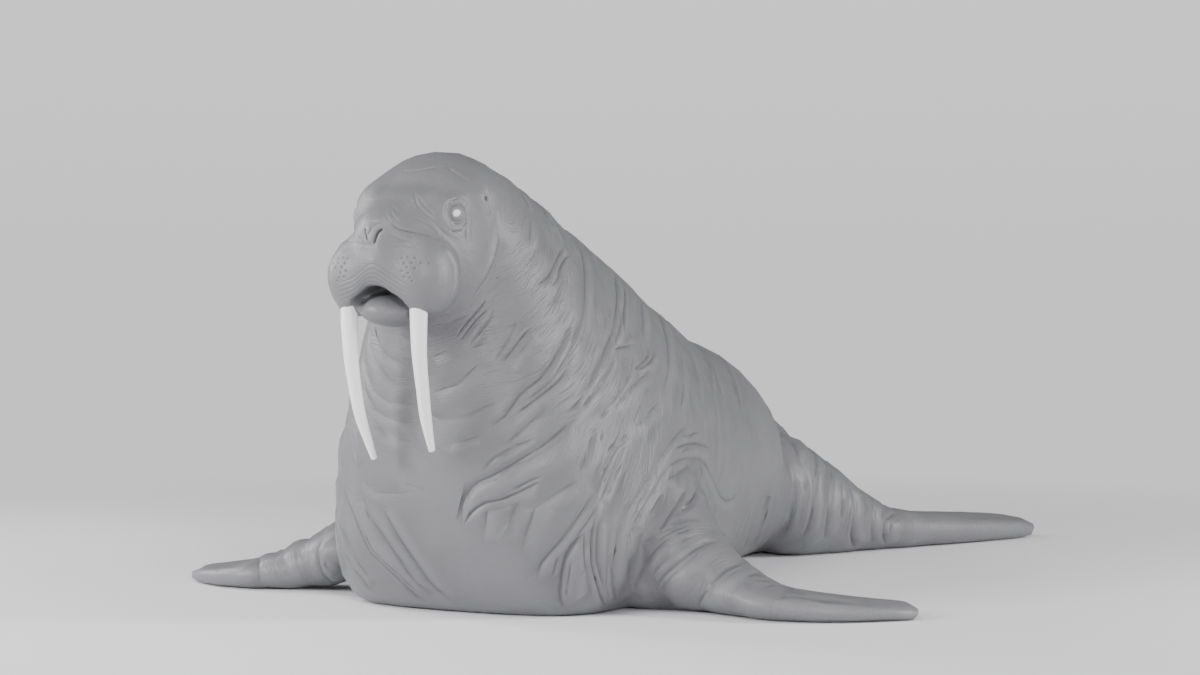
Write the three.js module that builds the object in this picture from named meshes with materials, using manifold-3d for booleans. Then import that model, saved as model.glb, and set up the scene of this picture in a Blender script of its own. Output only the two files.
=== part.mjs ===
// A walrus resting on its belly with its chest and head raised, at life size.
// Millimetres, +X towards the snout, +Y to the animal's left, +Z up, floor at Z = 0.
// The origin is on the floor under the ribs, on the flat where the belly rests.
import * as THREE from "three";
import { mergeVertices } from "three/addons/utils/BufferGeometryUtils.js";
import Module from "manifold-3d";

const wasm = await Module();
wasm.setup();

// Driving dimensions
const GAP = 0.3; // left between touching pieces
const WELD = 1e-3; // vertices closer than this are one
const FLOOR_SOFTNESS = 12; // height over which the trunk rounds off into its flat on the floor
const LIMB_SOFTNESS = 4; // the same for the limbs
const HEAD_TURN = THREE.MathUtils.degToRad(2.5); // the head looks a little to the animal's left
const HEAD_PIVOT = new THREE.Vector3(600, 0, 1000);
const FIELD_SOFTNESS = 20; // width over which two masses of the head run into each other
const EYE_RADIUS = 31;

// How many facets round and along each kind of form.
const FACETS = {
  trunk: [36, 66],
  skull: [30, 22],
  muzzle: [28, 16],
  lid: [7, 9],
  tusk: [12, 12],
  limb: [18, 24],
  jaw: [18, 10],
  nostril: [12, 8],
  ear: [8, 6],
};

// The trunk in profile: each station runs from the back to the belly and is that wide to each side.
// Level is the share of the height where it is widest, and square is how boxy it is below that.
const TRUNK_STATIONS = [
  { name: "tail end", back: [-1740, 210], belly: [-1750, 120], half: 40, level: 0.5, square: 0 },
  { name: "tail root", back: [-1660, 300], belly: [-1690, 30], half: 115, level: 0.5, square: 0 },
  { name: "rump", back: [-1480, 430], belly: [-1510, -25], half: 225, level: 0.45, square: 0 },
  { name: "hips", back: [-1230, 550], belly: [-1260, -35], half: 310, level: 0.45, square: 0 },
  { name: "loin", back: [-930, 662], belly: [-930, -40], half: 390, level: 0.45, square: 0 },
  { name: "middle", back: [-600, 768], belly: [-540, -40], half: 462, level: 0.45, square: 0 },
  { name: "ribs", back: [-280, 874], belly: [-80, -60], half: 508, level: 0.42, square: 0.3 },
  { name: "withers", back: [-20, 990], belly: [330, -90], half: 515, level: 0.38, square: 0.7 },
  { name: "shoulders", back: [150, 1085], belly: [680, -80], half: 490, level: 0.36, square: 0.75 },
  { name: "breast", back: [290, 1170], belly: [850, 130], half: 432, level: 0.36, square: 0.6 },
  { name: "neck base", back: [400, 1226], belly: [925, 370], half: 350, level: 0.4, square: 0.3 },
  { name: "neck", back: [490, 1272], belly: [945, 600], half: 282, level: 0.45, square: 0 },
  { name: "throat", back: [575, 1311], belly: [935, 770], half: 240, level: 0.5, square: 0 },
  { name: "nape", back: [665, 1330], belly: [925, 900], half: 212, level: 0.5, square: 0 },
  { name: "skull", back: [790, 1290], belly: [980, 1010], half: 130, level: 0.5, square: 0 },
];
const CHEST_SWAY = 28; // the chest sags this far to the animal's left

// Rolls of loose skin across the back: how far each stands out, or the hollow between two sinks,
// at that share of the trunk's length.
const ROLLS = [
  { at: 0.14, rise: 0 },
  { at: 0.2, rise: -11 },
  { at: 0.245, rise: -36 },
  { at: 0.29, rise: -30 },
  { at: 0.315, rise: -4 },
  { at: 0.342, rise: 35 },
  { at: 0.354, rise: 22 },
  { at: 0.388, rise: 6 },
  { at: 0.42, rise: 11 },
  { at: 0.458, rise: 19 },
  { at: 0.49, rise: 13 },
  { at: 0.54, rise: 20 },
  { at: 0.6, rise: 8 },
  { at: 0.662, rise: -7 },
  { at: 0.715, rise: 3 },
  { at: 0.77, rise: -3 },
  { at: 0.86, rise: 0 },
];

// Where the trunk is parted: a point on each plane and the way it faces.
const PARTINGS = {
  head: { point: [690, 0, 1350], facing: [0.901, 0, 0.433] },
  neck: { point: [300, 0, 1165], facing: [0.681, 0, 0.732] },
  chest: { point: [-150, 0, 0], facing: [0.98, 0, 0.2] },
  abdomen: { point: [-950, 0, 0], facing: [1, 0, 0] },
  hindquarters: { point: [-1600, 0, 0], facing: [1, 0, 0] },
};

// The masses of the head and of the muzzle, in the frame of the head.
const HEAD_MASSES = [
  { name: "cranium", centre: [790, 0, 1188], radii: [212, 180, 158] },
  { name: "nape", centre: [735, 0, 1145], radii: [190, 205, 190] },
  { name: "throat", centre: [820, 0, 970], radii: [140, 178, 180] },
  { name: "snout", centre: [1040, 0, 1098], radii: [136, 110, 95] },
  { name: "bridge", centre: [990, 0, 1165], radii: [80, 118, 78] },
  { name: "left brow", centre: [930, 105, 1195], radii: [75, 62, 60] },
  { name: "right brow", centre: [930, -105, 1195], radii: [75, 62, 60] },
  { name: "left cheek", centre: [890, 90, 1060], radii: [150, 100, 165] },
  { name: "right cheek", centre: [890, -90, 1060], radii: [150, 100, 165] },
];
const MUZZLE_MASSES = [
  { name: "left pad", centre: [1050, 101, 989], radii: [112, 94, 122] },
  { name: "right pad", centre: [1050, -101, 989], radii: [112, 94, 122] },
  { name: "philtrum", centre: [1066, 0, 1036], radii: [112, 84, 80] },
];
const HEAD_CENTRE = new THREE.Vector3(900, 0, 1120);
const MUZZLE_CENTRE = new THREE.Vector3(1045, 0, 1010);
const EYE = { centre: [968, 145, 1163], facing: [0.66, 0.74, 0.12] };
const NOSTRIL = { centre: [1176, 24, 1110], radii: [22, 6.5, 19], lean: 0.35 };
const EAR = { centre: [846, 186, 1213], radii: [13, 7, 20] };
const JAW = { centre: [1020, -13, 892], radii: [128, 92, 49] };
const MOUTH = { centre: [1080, -12, 870], radii: [130, 105, 100] };

// An eyelid: how far its rim lies from the middle of the eye and how far it stands out, as shares of
// the eyeball's radius, how oval the opening is, and how thick the lid is at its middle.
const LID = { rim: 0.72, lift: 0.74, oval: 0.72, thick: 11, bulge: 0.8, overrun: 0.1 };

// A tusk from its root inside the muzzle to its tip, in the frame of the head.
const TUSK_STATIONS = [
  { centre: [1085, 104, 980], across: 25, along: 28 },
  { centre: [1096, 105, 900], across: 25, along: 28 },
  { centre: [1092, 104, 780], across: 21.5, along: 23.5 },
  { centre: [1075, 103, 690], across: 18.5, along: 21 },
  { centre: [1045, 99, 585], across: 16, along: 18 },
  { centre: [1004, 95, 480], across: 9, along: 10 },
];
// How much shorter than that each tusk is worn, and how much further out it stands above its tip.
const LEFT_TUSK = { wear: 13, splay: 0 };
const RIGHT_TUSK = { wear: -15, splay: 16 };

// The limbs: lead is the half-width towards the front edge and trail the one towards the back edge.
const LEFT_FORE_STATIONS = [
  { centre: [230, 360, 430], lead: 215, trail: 150, thick: 150 },
  { centre: [300, 500, 295], lead: 205, trail: 150, thick: 145 },
  { centre: [365, 640, 142], lead: 165, trail: 132, thick: 145 },
  { centre: [400, 780, 82], lead: 120, trail: 112, thick: 77 },
  { centre: [420, 920, 45], lead: 130, trail: 130, thick: 49 },
  { centre: [370, 1060, 32], lead: 130, trail: 140, thick: 35 },
  { centre: [290, 1190, 24], lead: 106, trail: 118, thick: 27 },
  { centre: [215, 1290, 19], lead: 84, trail: 88, thick: 20 },
];
const RIGHT_FORE_STATIONS = [
  { centre: [330, -350, 270], lead: 200, trail: 150, thick: 120 },
  { centre: [400, -480, 172], lead: 185, trail: 150, thick: 118 },
  { centre: [460, -590, 108], lead: 150, trail: 130, thick: 98 },
  { centre: [500, -700, 72], lead: 116, trail: 110, thick: 69 },
  { centre: [520, -815, 46], lead: 125, trail: 130, thick: 47 },
  { centre: [500, -930, 34], lead: 122, trail: 140, thick: 36 },
  { centre: [460, -1035, 25], lead: 100, trail: 114, thick: 28 },
  { centre: [429, -1093, 18], lead: 72, trail: 76, thick: 19 },
];
const HIND_STATIONS = [
  { centre: [-950, 190, 240], lead: 210, trail: 210, thick: 210 },
  { centre: [-1140, 300, 190], lead: 190, trail: 190, thick: 217 },
  { centre: [-1310, 420, 126], lead: 140, trail: 140, thick: 137 },
  { centre: [-1450, 510, 78], lead: 100, trail: 100, thick: 80 },
  { centre: [-1600, 582, 64], lead: 100, trail: 100, thick: 62 },
  { centre: [-1800, 662, 54], lead: 118, trail: 118, thick: 52 },
  { centre: [-2010, 740, 43], lead: 132, trail: 132, thick: 43 },
  { centre: [-2152, 791, 34], lead: 112, trail: 112, thick: 33 },
];
// Loose flesh that hangs to the floor between the chest and the left foreleg.
const ARMPIT = { centre: [345, 500, 115], radii: [135, 205, 200] };

const DIGITS = 5;
const FORE = { start: 0.42, digitRelief: 0.22, rings: 7, ringRelief: 0.03 };
const HIND = { start: 0.46, digitRelief: 0.2, rings: 8, ringRelief: 0.035 };
const SCALLOP = 0.06; // how deep the notches between the digits are at the trailing edge

// Small helpers

const lerp = THREE.MathUtils.lerp;
const clamp = THREE.MathUtils.clamp;

function smooth(x, low, high) {
  return THREE.MathUtils.smoothstep(x, low, high);
}

function signedPower(x, power) {
  return Math.sign(x) * Math.abs(x) ** power;
}

function vector([x, y, z]) {
  return new THREE.Vector3(x, y, z);
}

// Flesh that would sink below the floor spreads flat on it.
function aboveFloor(z, softness) {
  if (z > softness) return z;
  if (z < -softness) return 0;
  return (z + softness) ** 2 / (4 * softness);
}

// A closed surface: place(along, angle) gives the point at a share of its length and an angle round it.
function sculpt([columns, rows], place) {
  const geometry = new THREE.SphereGeometry(1, columns, rows);
  const { position, uv } = geometry.attributes;
  for (let i = 0; i < position.count; i++) {
    const along = clamp(1 - uv.getY(i), 0, 1);
    const atPole = along < 1e-6 || along > 1 - 1e-6;
    const angle = atPole ? 0 : uv.getX(i) * 2 * Math.PI;
    const point = place(along, angle);
    position.setXYZ(i, point.x, point.y, point.z);
  }
  geometry.deleteAttribute("normal");
  geometry.deleteAttribute("uv");
  return mergeVertices(geometry, WELD);
}

function solidOf(geometry) {
  const merged = mergeVertices(geometry, WELD);
  const vertProperties = new Float32Array(merged.attributes.position.array);
  const triVerts = new Uint32Array(merged.index.array);
  const solid = new wasm.Manifold(new wasm.Mesh({ numProp: 3, vertProperties, triVerts }));
  if (solid.volume() > 0) return solid;
  for (let i = 0; i < triVerts.length; i += 3) {
    [triVerts[i + 1], triVerts[i + 2]] = [triVerts[i + 2], triVerts[i + 1]];
  }
  return new wasm.Manifold(new wasm.Mesh({ numProp: 3, vertProperties, triVerts }));
}

function geometryOf(solid) {
  const { vertProperties, triVerts, numProp } = solid.getMesh();
  const count = vertProperties.length / numProp;
  const flat = new Float32Array(count * 3);
  for (let i = 0; i < count; i++) {
    flat.set(vertProperties.subarray(i * numProp, i * numProp + 3), i * 3);
  }
  const geometry = new THREE.BufferGeometry();
  geometry.setAttribute("position", new THREE.BufferAttribute(flat, 3));
  geometry.setIndex(new THREE.BufferAttribute(new Uint32Array(triVerts), 1));
  return geometry;
}

// The same solid with its surface moved outwards along its normals.
function swollen(solid, by = GAP) {
  const grown = geometryOf(solid);
  grown.computeVertexNormals();
  const { position, normal } = grown.attributes;
  for (let i = 0; i < position.count; i++) {
    position.setXYZ(
      i,
      position.getX(i) + by * normal.getX(i),
      position.getY(i) + by * normal.getY(i),
      position.getZ(i) + by * normal.getZ(i),
    );
  }
  grown.deleteAttribute("normal");
  return solidOf(grown);
}

function ellipsoid({ centre, radii, turn = [0, 0, 0] }, [columns, rows] = [14, 9]) {
  const geometry = mergeVertices(positionsOnly(new THREE.SphereGeometry(1, columns, rows)), WELD);
  geometry.scale(...radii);
  geometry.applyMatrix4(new THREE.Matrix4().makeRotationFromEuler(new THREE.Euler(...turn)));
  geometry.translate(...centre);
  return geometry;
}

function positionsOnly(geometry) {
  geometry.deleteAttribute("normal");
  geometry.deleteAttribute("uv");
  return geometry;
}

// The shape with all that would lie below the floor spread flat on it.
function settled(geometry) {
  const { position } = geometry.attributes;
  for (let i = 0; i < position.count; i++) {
    position.setZ(i, aboveFloor(position.getZ(i), LIMB_SOFTNESS));
  }
  return geometry;
}

function mirrored(geometry) {
  return geometry.clone().applyMatrix4(new THREE.Matrix4().makeScale(1, -1, 1));
}

// Takes a shape from the frame of the head to the frame of the animal.
function onHead(geometry) {
  const turned = geometry.clone();
  turned.translate(-HEAD_PIVOT.x, -HEAD_PIVOT.y, -HEAD_PIVOT.z);
  turned.rotateZ(HEAD_TURN);
  turned.translate(HEAD_PIVOT.x, HEAD_PIVOT.y, HEAD_PIVOT.z);
  return turned;
}

// Trunk

function splineOf(list) {
  return new THREE.SplineCurve(list.map(([x, y]) => new THREE.Vector2(x, y)));
}

const backLine = splineOf(TRUNK_STATIONS.map((s) => s.back));
const bellyLine = splineOf(TRUNK_STATIONS.map((s) => s.belly));
const widthLine = splineOf(TRUNK_STATIONS.map((s) => [s.half, s.level]));
const squareLine = splineOf(TRUNK_STATIONS.map((s) => [s.square, 0]));

// The height of the rolls, eased from each one to the next.
function rollHeight(along) {
  const next = ROLLS.findIndex(({ at }) => at > along);
  if (next < 1) return 0;
  const from = ROLLS[next - 1];
  const to = ROLLS[next];
  return lerp(from.rise, to.rise, smooth(along, from.at, to.at));
}

function roundedEnds(along, first, last) {
  const fromStart = along < first ? 1 - along / first : 0;
  const fromEnd = along > 1 - last ? (along - 1 + last) / last : 0;
  const near = Math.max(fromStart, fromEnd);
  return Math.sqrt(Math.max(0, 1 - near * near));
}

function trunkPoint(along, angle) {
  const back = backLine.getPoint(along);
  const belly = bellyLine.getPoint(along);
  const { x: half, y: level } = widthLine.getPoint(along);
  const square = squareLine.getPoint(along).x;
  const size = roundedEnds(along, 0.03, 0.04);
  const height = back.distanceTo(belly);
  const up = Math.cos(angle);
  const power = up > 0 ? 1 : lerp(1, 0.45, square);
  const upward = size * height * (up > 0 ? 1 - level : level) * signedPower(up, power);
  const sideways = size * half * signedPower(Math.sin(angle), power);
  const girth = Math.hypot(upward, sideways);
  const roll = 1 + (rollHeight(along) * smooth(up, -0.3, 0.4)) / Math.max(girth, 1);
  const reach = upward * roll;
  const direction = back.clone().sub(belly).normalize();
  const centre = belly.clone().lerp(back, level);
  const sway = CHEST_SWAY * smooth(along, 0.4, 0.6) * (1 - smooth(along, 0.75, 0.95));
  return new THREE.Vector3(
    centre.x + direction.x * reach,
    sway + sideways * roll,
    aboveFloor(centre.y + direction.y * reach, FLOOR_SOFTNESS),
  );
}

// Head

// Below zero inside the masses, which run into each other softly.
function fieldOf(masses) {
  return (point) => {
    let sum = 0;
    for (const { centre, radii } of masses) {
      const share = Math.hypot(
        (point.x - centre[0]) / radii[0],
        (point.y - centre[1]) / radii[1],
        (point.z - centre[2]) / radii[2],
      );
      sum += Math.exp(((1 - share) * Math.min(...radii)) / FIELD_SOFTNESS);
    }
    return -FIELD_SOFTNESS * Math.log(sum);
  };
}

// The surface of a field as seen from a centre inside it, with its poles behind and in front.
// It is found by halving a reach that is longer than any of the masses.
function blob(facets, centre, field) {
  const longest = 500;
  const halvings = 24;
  return sculpt(facets, (along, angle) => {
    const tilt = Math.PI * along;
    const direction = new THREE.Vector3(
      -Math.cos(tilt),
      Math.sin(tilt) * Math.sin(angle),
      Math.sin(tilt) * Math.cos(angle),
    );
    let inside = 0;
    let outside = longest;
    for (let step = 0; step < halvings; step++) {
      const middle = (inside + outside) / 2;
      const point = centre.clone().addScaledVector(direction, middle);
      if (field(point) < 0) inside = middle;
      else outside = middle;
    }
    return centre.clone().addScaledVector(direction, inside);
  });
}

function tuskGeometry({ wear, splay }) {
  const middles = TUSK_STATIONS.map((s) => vector(s.centre));
  const tip = middles.at(-1);
  for (const middle of middles) middle.y += middle === tip ? 0 : splay;
  tip.z += wear;
  const path = new THREE.CatmullRomCurve3(middles);
  const sizes = splineOf(TUSK_STATIONS.map((s) => [s.across, s.along]));
  return sculpt(FACETS.tusk, (along, angle) => {
    const size = roundedEnds(along, 0.05, 0.06);
    const centre = path.getPoint(along);
    const { x: across, y: deep } = sizes.getPoint(along);
    return new THREE.Vector3(
      centre.x + deep * size * Math.cos(angle),
      centre.y + across * size * Math.sin(angle),
      centre.z,
    );
  });
}

// A lid is a crescent that follows the eyeball above or below its opening.
function lidGeometry(side) {
  const facing = vector(EYE.facing).normalize();
  const across = new THREE.Vector3(0, 0, 1).cross(facing).normalize();
  const up = facing.clone().cross(across);
  return sculpt(FACETS.lid, (along, angle) => {
    const turn = lerp(-LID.overrun, Math.PI + LID.overrun, along);
    const sideways = across.clone().multiplyScalar(Math.cos(turn));
    const outward = sideways.addScaledVector(up, side * Math.sin(turn) * LID.oval);
    const thick = LID.thick * Math.sin(Math.PI * clamp(along, WELD, 1 - WELD)) ** 0.5;
    return vector(EYE.centre)
      .addScaledVector(facing, LID.lift * EYE_RADIUS + thick * LID.bulge * Math.cos(angle))
      .addScaledVector(outward, LID.rim * EYE_RADIUS + thick * Math.sin(angle));
  });
}

// Limbs

function limbGeometry(stations, { start, digitRelief, rings, ringRelief }) {
  const path = new THREE.CatmullRomCurve3(stations.map((s) => vector(s.centre)));
  const widths = splineOf(stations.map((s) => [s.lead, s.trail]));
  const heights = splineOf(stations.map((s) => [s.thick, 0]));
  const side = Math.sign(stations[0].centre[1]);
  return sculpt(FACETS.limb, (along, angle) => {
    const size = roundedEnds(along, 0.08, 0.05);
    const tangent = path.getTangent(along);
    const across = new THREE.Vector3(tangent.y, -tangent.x, 0).normalize().multiplyScalar(side);
    const { x: lead, y: trail } = widths.getPoint(along);
    const thick = heights.getPoint(along).x;
    const s = Math.sin(angle);
    const digit = smooth(along, start + 0.08, start + 0.3);
    const lying = smooth(along, start - 0.17, start);
    const ridge = 1 + digitRelief * digit * (Math.cos(DIGITS * Math.PI * s) - 0.5);
    const scallop = 1 + SCALLOP * digit * Math.cos(2 * Math.PI * DIGITS * along * 1.6);
    const ring = 1 + ringRelief * (1 - digit) * Math.cos(2 * Math.PI * rings * along);
    const flat = lerp(1, 0.75, digit);
    const reach = (s > 0 ? lead : trail * scallop) * ring * size * signedPower(s, flat);
    const point = path.getPoint(along).addScaledVector(across, reach);
    const below = Math.max(thick, lying * (point.z + 2 * LIMB_SOFTNESS));
    const up = size * ring * signedPower(Math.cos(angle), flat);
    point.z = aboveFloor(point.z + up * (up > 0 ? thick * ridge : below), LIMB_SOFTNESS);
    return point;
  });
}

// Pieces

const group = new THREE.Group();

function largestOf(solid) {
  return solid.decompose().reduce((a, b) => (b.volume() > a.volume() ? b : a));
}

function add(name, solid, { color, roughness }) {
  const material = new THREE.MeshStandardMaterial({ color, roughness, metalness: 0 });
  const mesh = new THREE.Mesh(geometryOf(largestOf(solid)), material);
  mesh.name = name;
  group.add(mesh);
}

function planeOf({ point, facing }) {
  const normal = vector(facing).normalize();
  return { normal, offset: normal.dot(vector(point)) };
}

function inFrontOf(solid, parting) {
  const { normal, offset } = planeOf(parting);
  return solid.trimByPlane(normal.toArray(), offset + GAP / 2);
}

function behind(solid, parting) {
  const { normal, offset } = planeOf(parting);
  return solid.trimByPlane(normal.negate().toArray(), GAP / 2 - offset);
}

const SKIN = { color: 0x8e8d92, roughness: 0.55 };
const IVORY = { color: 0xe4e4e6, roughness: 0.4 };
const EYEBALL = { color: 0xe8e8ea, roughness: 0.15 };

const trunk = solidOf(sculpt(FACETS.trunk, trunkPoint));
const skull = solidOf(onHead(blob(FACETS.skull, HEAD_CENTRE, fieldOf(HEAD_MASSES))));
const body = trunk.add(skull);

let head = inFrontOf(body, PARTINGS.head);
const neck = inFrontOf(behind(body, PARTINGS.head), PARTINGS.neck);
const chest = inFrontOf(behind(body, PARTINGS.neck), PARTINGS.chest);
const abdomen = inFrontOf(behind(body, PARTINGS.chest), PARTINGS.abdomen);
const hindquarters = inFrontOf(behind(body, PARTINGS.abdomen), PARTINGS.hindquarters);
const tail = behind(body, PARTINGS.hindquarters);

const eyeShape = ellipsoid({ centre: EYE.centre, radii: [EYE_RADIUS, EYE_RADIUS, EYE_RADIUS] });
const nostrilShape = ellipsoid({
  centre: NOSTRIL.centre,
  radii: NOSTRIL.radii,
  turn: [-NOSTRIL.lean, 0, 0],
}, FACETS.nostril);
const earShape = ellipsoid(EAR, FACETS.ear);
const upperLidShape = lidGeometry(1);
const lowerLidShape = lidGeometry(-1);

const jaw = solidOf(onHead(ellipsoid(JAW, FACETS.jaw)));
const mouth = solidOf(onHead(ellipsoid(MOUTH, FACETS.jaw)));
const muzzle = solidOf(onHead(blob(FACETS.muzzle, MUZZLE_CENTRE, fieldOf(MUZZLE_MASSES))));

head = head.subtract(mouth);
const swollenSkull = swollen(skull);
const details = [];
for (const [sideName, onSide] of [["left", (g) => g], ["right", mirrored]]) {
  const eye = solidOf(onHead(onSide(eyeShape)));
  const ear = solidOf(onHead(onSide(earShape)));
  head = head.subtract(swollen(eye)).subtract(solidOf(onHead(onSide(nostrilShape))));
  head = head.subtract(swollen(ear));
  details.push({ sideName, eye, ear, onSide });
}
head = head.subtract(swollen(jaw));

add("head", head, SKIN);
for (const { sideName, eye, ear, onSide } of details) {
  const lower = solidOf(onHead(onSide(lowerLidShape)));
  const upper = solidOf(onHead(onSide(upperLidShape))).subtract(swollen(lower));
  const cover = (lid) => lid.subtract(swollen(eye)).subtract(swollenSkull);
  add(`eye_${sideName}`, eye, EYEBALL);
  add(`upper_eyelid_${sideName}`, cover(upper), SKIN);
  add(`lower_eyelid_${sideName}`, cover(lower), SKIN);
  add(`ear_${sideName}`, ear, SKIN);
}

add("neck", neck.subtract(swollen(jaw)), SKIN);
add("chest", chest, SKIN);
add("abdomen", abdomen, SKIN);
add("hindquarters", hindquarters, SKIN);
add("tail", tail, SKIN);

const pads = muzzle.subtract(mouth).subtract(swollenSkull).subtract(swollen(jaw));
const middle = new THREE.Vector3(-Math.sin(HEAD_TURN), Math.cos(HEAD_TURN), 0);
const middleOffset = middle.dot(HEAD_PIVOT);
const leftTusk = solidOf(onHead(tuskGeometry(LEFT_TUSK))).subtract(swollenSkull);
const rightTusk = solidOf(onHead(mirrored(tuskGeometry(RIGHT_TUSK)))).subtract(swollenSkull);
const leftPad = pads.trimByPlane(middle.toArray(), middleOffset + GAP / 2);
const rightPad = pads.trimByPlane(middle.clone().negate().toArray(), GAP / 2 - middleOffset);
add("muzzle_pad_left", leftPad.subtract(swollen(leftTusk)), SKIN);
add("muzzle_pad_right", rightPad.subtract(swollen(rightTusk)), SKIN);
add("lower_jaw", jaw.subtract(swollen(leftTusk)).subtract(swollen(rightTusk)), SKIN);
add("tusk_left", leftTusk, IVORY);
add("tusk_right", rightTusk, IVORY);

const swollenTrunk = swollen(trunk);
const armpit = solidOf(settled(ellipsoid(ARMPIT, FACETS.limb)));
const leftFore = solidOf(limbGeometry(LEFT_FORE_STATIONS, FORE)).add(armpit).subtract(swollenTrunk);
const rightFore = solidOf(limbGeometry(RIGHT_FORE_STATIONS, FORE)).subtract(swollenTrunk);
const hindShape = limbGeometry(HIND_STATIONS, HIND);
const leftHind = solidOf(hindShape).subtract(swollenTrunk);
const rightHind = solidOf(mirrored(hindShape)).subtract(swollenTrunk);
const WRIST = { left: [410, 800, 0], right: [505, -715, 0] };
const ANKLE = [-1480, 525, 0];

function addLimb(limb, names, point, facing) {
  add(names[0], behind(limb, { point, facing }), SKIN);
  add(names[1], inFrontOf(limb, { point, facing }), SKIN);
}

addLimb(leftFore, ["foreleg_left", "fore_flipper_left"], WRIST.left, [0.1, 1, 0]);
addLimb(rightFore, ["foreleg_right", "fore_flipper_right"], WRIST.right, [0.1, -1, 0]);
addLimb(leftHind, ["hind_leg_left", "hind_flipper_left"], ANKLE, [-0.85, 0.5, 0]);
addLimb(
  rightHind,
  ["hind_leg_right", "hind_flipper_right"],
  [ANKLE[0], -ANKLE[1], 0],
  [-0.85, -0.5, 0],
);

export default group;
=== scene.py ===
import math

import bmesh
import bpy
import numpy as np
from mathutils import Euler, Matrix, Vector
from mathutils.bvhtree import BVHTree


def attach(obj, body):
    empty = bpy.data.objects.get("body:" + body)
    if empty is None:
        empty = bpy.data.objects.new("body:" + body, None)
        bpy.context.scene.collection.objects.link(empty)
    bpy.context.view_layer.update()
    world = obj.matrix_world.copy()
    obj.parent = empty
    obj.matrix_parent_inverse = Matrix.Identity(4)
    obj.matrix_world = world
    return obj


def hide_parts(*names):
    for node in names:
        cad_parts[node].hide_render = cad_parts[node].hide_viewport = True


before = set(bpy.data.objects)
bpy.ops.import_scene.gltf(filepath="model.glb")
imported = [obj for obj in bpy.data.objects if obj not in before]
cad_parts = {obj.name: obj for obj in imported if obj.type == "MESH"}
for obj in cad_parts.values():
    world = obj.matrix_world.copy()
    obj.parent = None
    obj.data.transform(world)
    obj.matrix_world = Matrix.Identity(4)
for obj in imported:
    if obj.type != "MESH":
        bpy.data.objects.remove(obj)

bl_info = {
    "name": "Walrus, life-size",
    "version": (1, 0, 0),
    "blender": (4, 5, 0),
    "location": "3D View > Sidebar > Walrus",
    "description": "Dresses the packed walrus with its folded hide, eyes and tusks",
    "category": "Object",
}

BODY = "root"
FLESH = (
    "head", "muzzle_pad_left", "muzzle_pad_right", "lower_jaw", "neck", "chest", "abdomen",
    "hindquarters", "tail", "upper_eyelid_left", "upper_eyelid_right", "lower_eyelid_left",
    "lower_eyelid_right", "ear_left", "ear_right", "foreleg_left", "foreleg_right",
    "fore_flipper_left", "fore_flipper_right", "hind_leg_left", "hind_leg_right",
    "hind_flipper_left", "hind_flipper_right",
)
MM = 0.001
PHOTO_WIDTH = 1200.0
PHOTO_HEIGHT = 675.0

# The camera: where it stands in metres, and how it is turned in degrees.
CAMERA_AT = (7.038, 3.864, 0.988)
CAMERA_YAW = 28.0
CAMERA_DOWN = math.degrees(0.0245)
CAMERA_LENS = 75.0
CAMERA_SENSOR = 36.0

# Rings round the trunk from tail to nape: back x and z, then belly x and z, in millimetres.
TRUNK_RINGS = (
    (-1740, 210, -1750, 120), (-1480, 430, -1510, -25), (-1230, 550, -1260, -35),
    (-930, 662, -930, -40), (-600, 768, -540, -40), (-280, 874, -80, -60), (-20, 990, 330, -90),
    (150, 1085, 680, -80), (290, 1170, 850, 130), (400, 1226, 925, 370), (490, 1272, 945, 600),
    (575, 1311, 935, 770), (665, 1330, 925, 900), (790, 1290, 980, 1010),
)
# The middle line of each limb from its root to its tip, in millimetres.
LIMB_LINES = {
    "fore_left": ((230, 360, 430), (365, 640, 150), (400, 780, 85), (420, 920, 45),
                  (370, 1060, 32), (215, 1290, 15)),
    "fore_right": ((330, -350, 290), (460, -590, 118), (500, -700, 74), (520, -815, 46),
                   (500, -930, 34), (418, -1122, 16)),
    "hind_left": ((-950, 190, 240), (-1140, 300, 190), (-1310, 420, 126), (-1450, 510, 78),
                  (-1800, 662, 54), (-2195, 805, 34)),
    "hind_right": ((-950, -190, 240), (-1140, -300, 190), (-1310, -420, 126), (-1450, -510, 78),
                   (-1800, -662, 54), (-2195, -805, 34)),
}

# In metres, how near corners of a CAD part are one, and how far each part swells so that it joins the next.
WELD = 1e-5
OVERLAP = 0.0008
# Above this height, in metres, the tusks are roots inside the lip.
TUSK_ROOT_HEIGHT = 0.884
# The web of skin that fills the hollow between the chest and the left foreleg, in millimetres.
WEB_CENTRE = (450, 505, 112)
WEB_RADII = (78, 100, 110)
# How strongly the steps of the grid are taken out of the trunk, the head and the legs, and how much less
# out of the flippers, within which limits, and in how many rounds.
SOFTENING = {"trunk": 0.9, "head": 0.35, "leg": 0.55, "flipper_less": 0.35}
SOFTENING_LIMITS = (0.15, 0.9)
SOFTENING_ROUNDS = 24
# Triangles of the hide, and what share of the thinning the face takes.
HIDE_TRIANGLES = 192000
FACE_THINNING = 0.2
# How high above the floor the hide ends, and between which heights its folds set in, in millimetres.
FLOOR_GAP = 0.2
UNDERSIDE = (2, 60)

# How the head is turned, and about which point.
HEAD_TURN = math.radians(2.5)
HEAD_PIVOT = np.array((600.0, 0.0, 1000.0))
# The plane behind the head, and from where to where before it the head's skin and the calm skin of the nape
# take over.
HEAD_EDGE = np.array((690.0, 0.0, 1350.0))
HEAD_EDGE_FACING = np.array((0.901, 0.0, 0.433))
HEAD_BLEND = (-60, 90)
NAPE_BLEND = (-330, -60)
# Along each limb's middle line, where its own folds take over and where the flipper begins, and how far out
# from that line its folds fade.
LIMB_ROOT = {"fore_left": (180, 420), "fore_right": (180, 400),
             "hind_left": (60, 260), "hind_right": (60, 260)}
LIMB_WRIST = {"fore_left": (530, 620), "fore_right": (470, 560),
              "hind_left": (560, 660), "hind_right": (560, 660)}
LIMB_FADE = (170, 270)

# Samples of the curve through the trunk's rings.
RING_SAMPLES = 110
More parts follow.
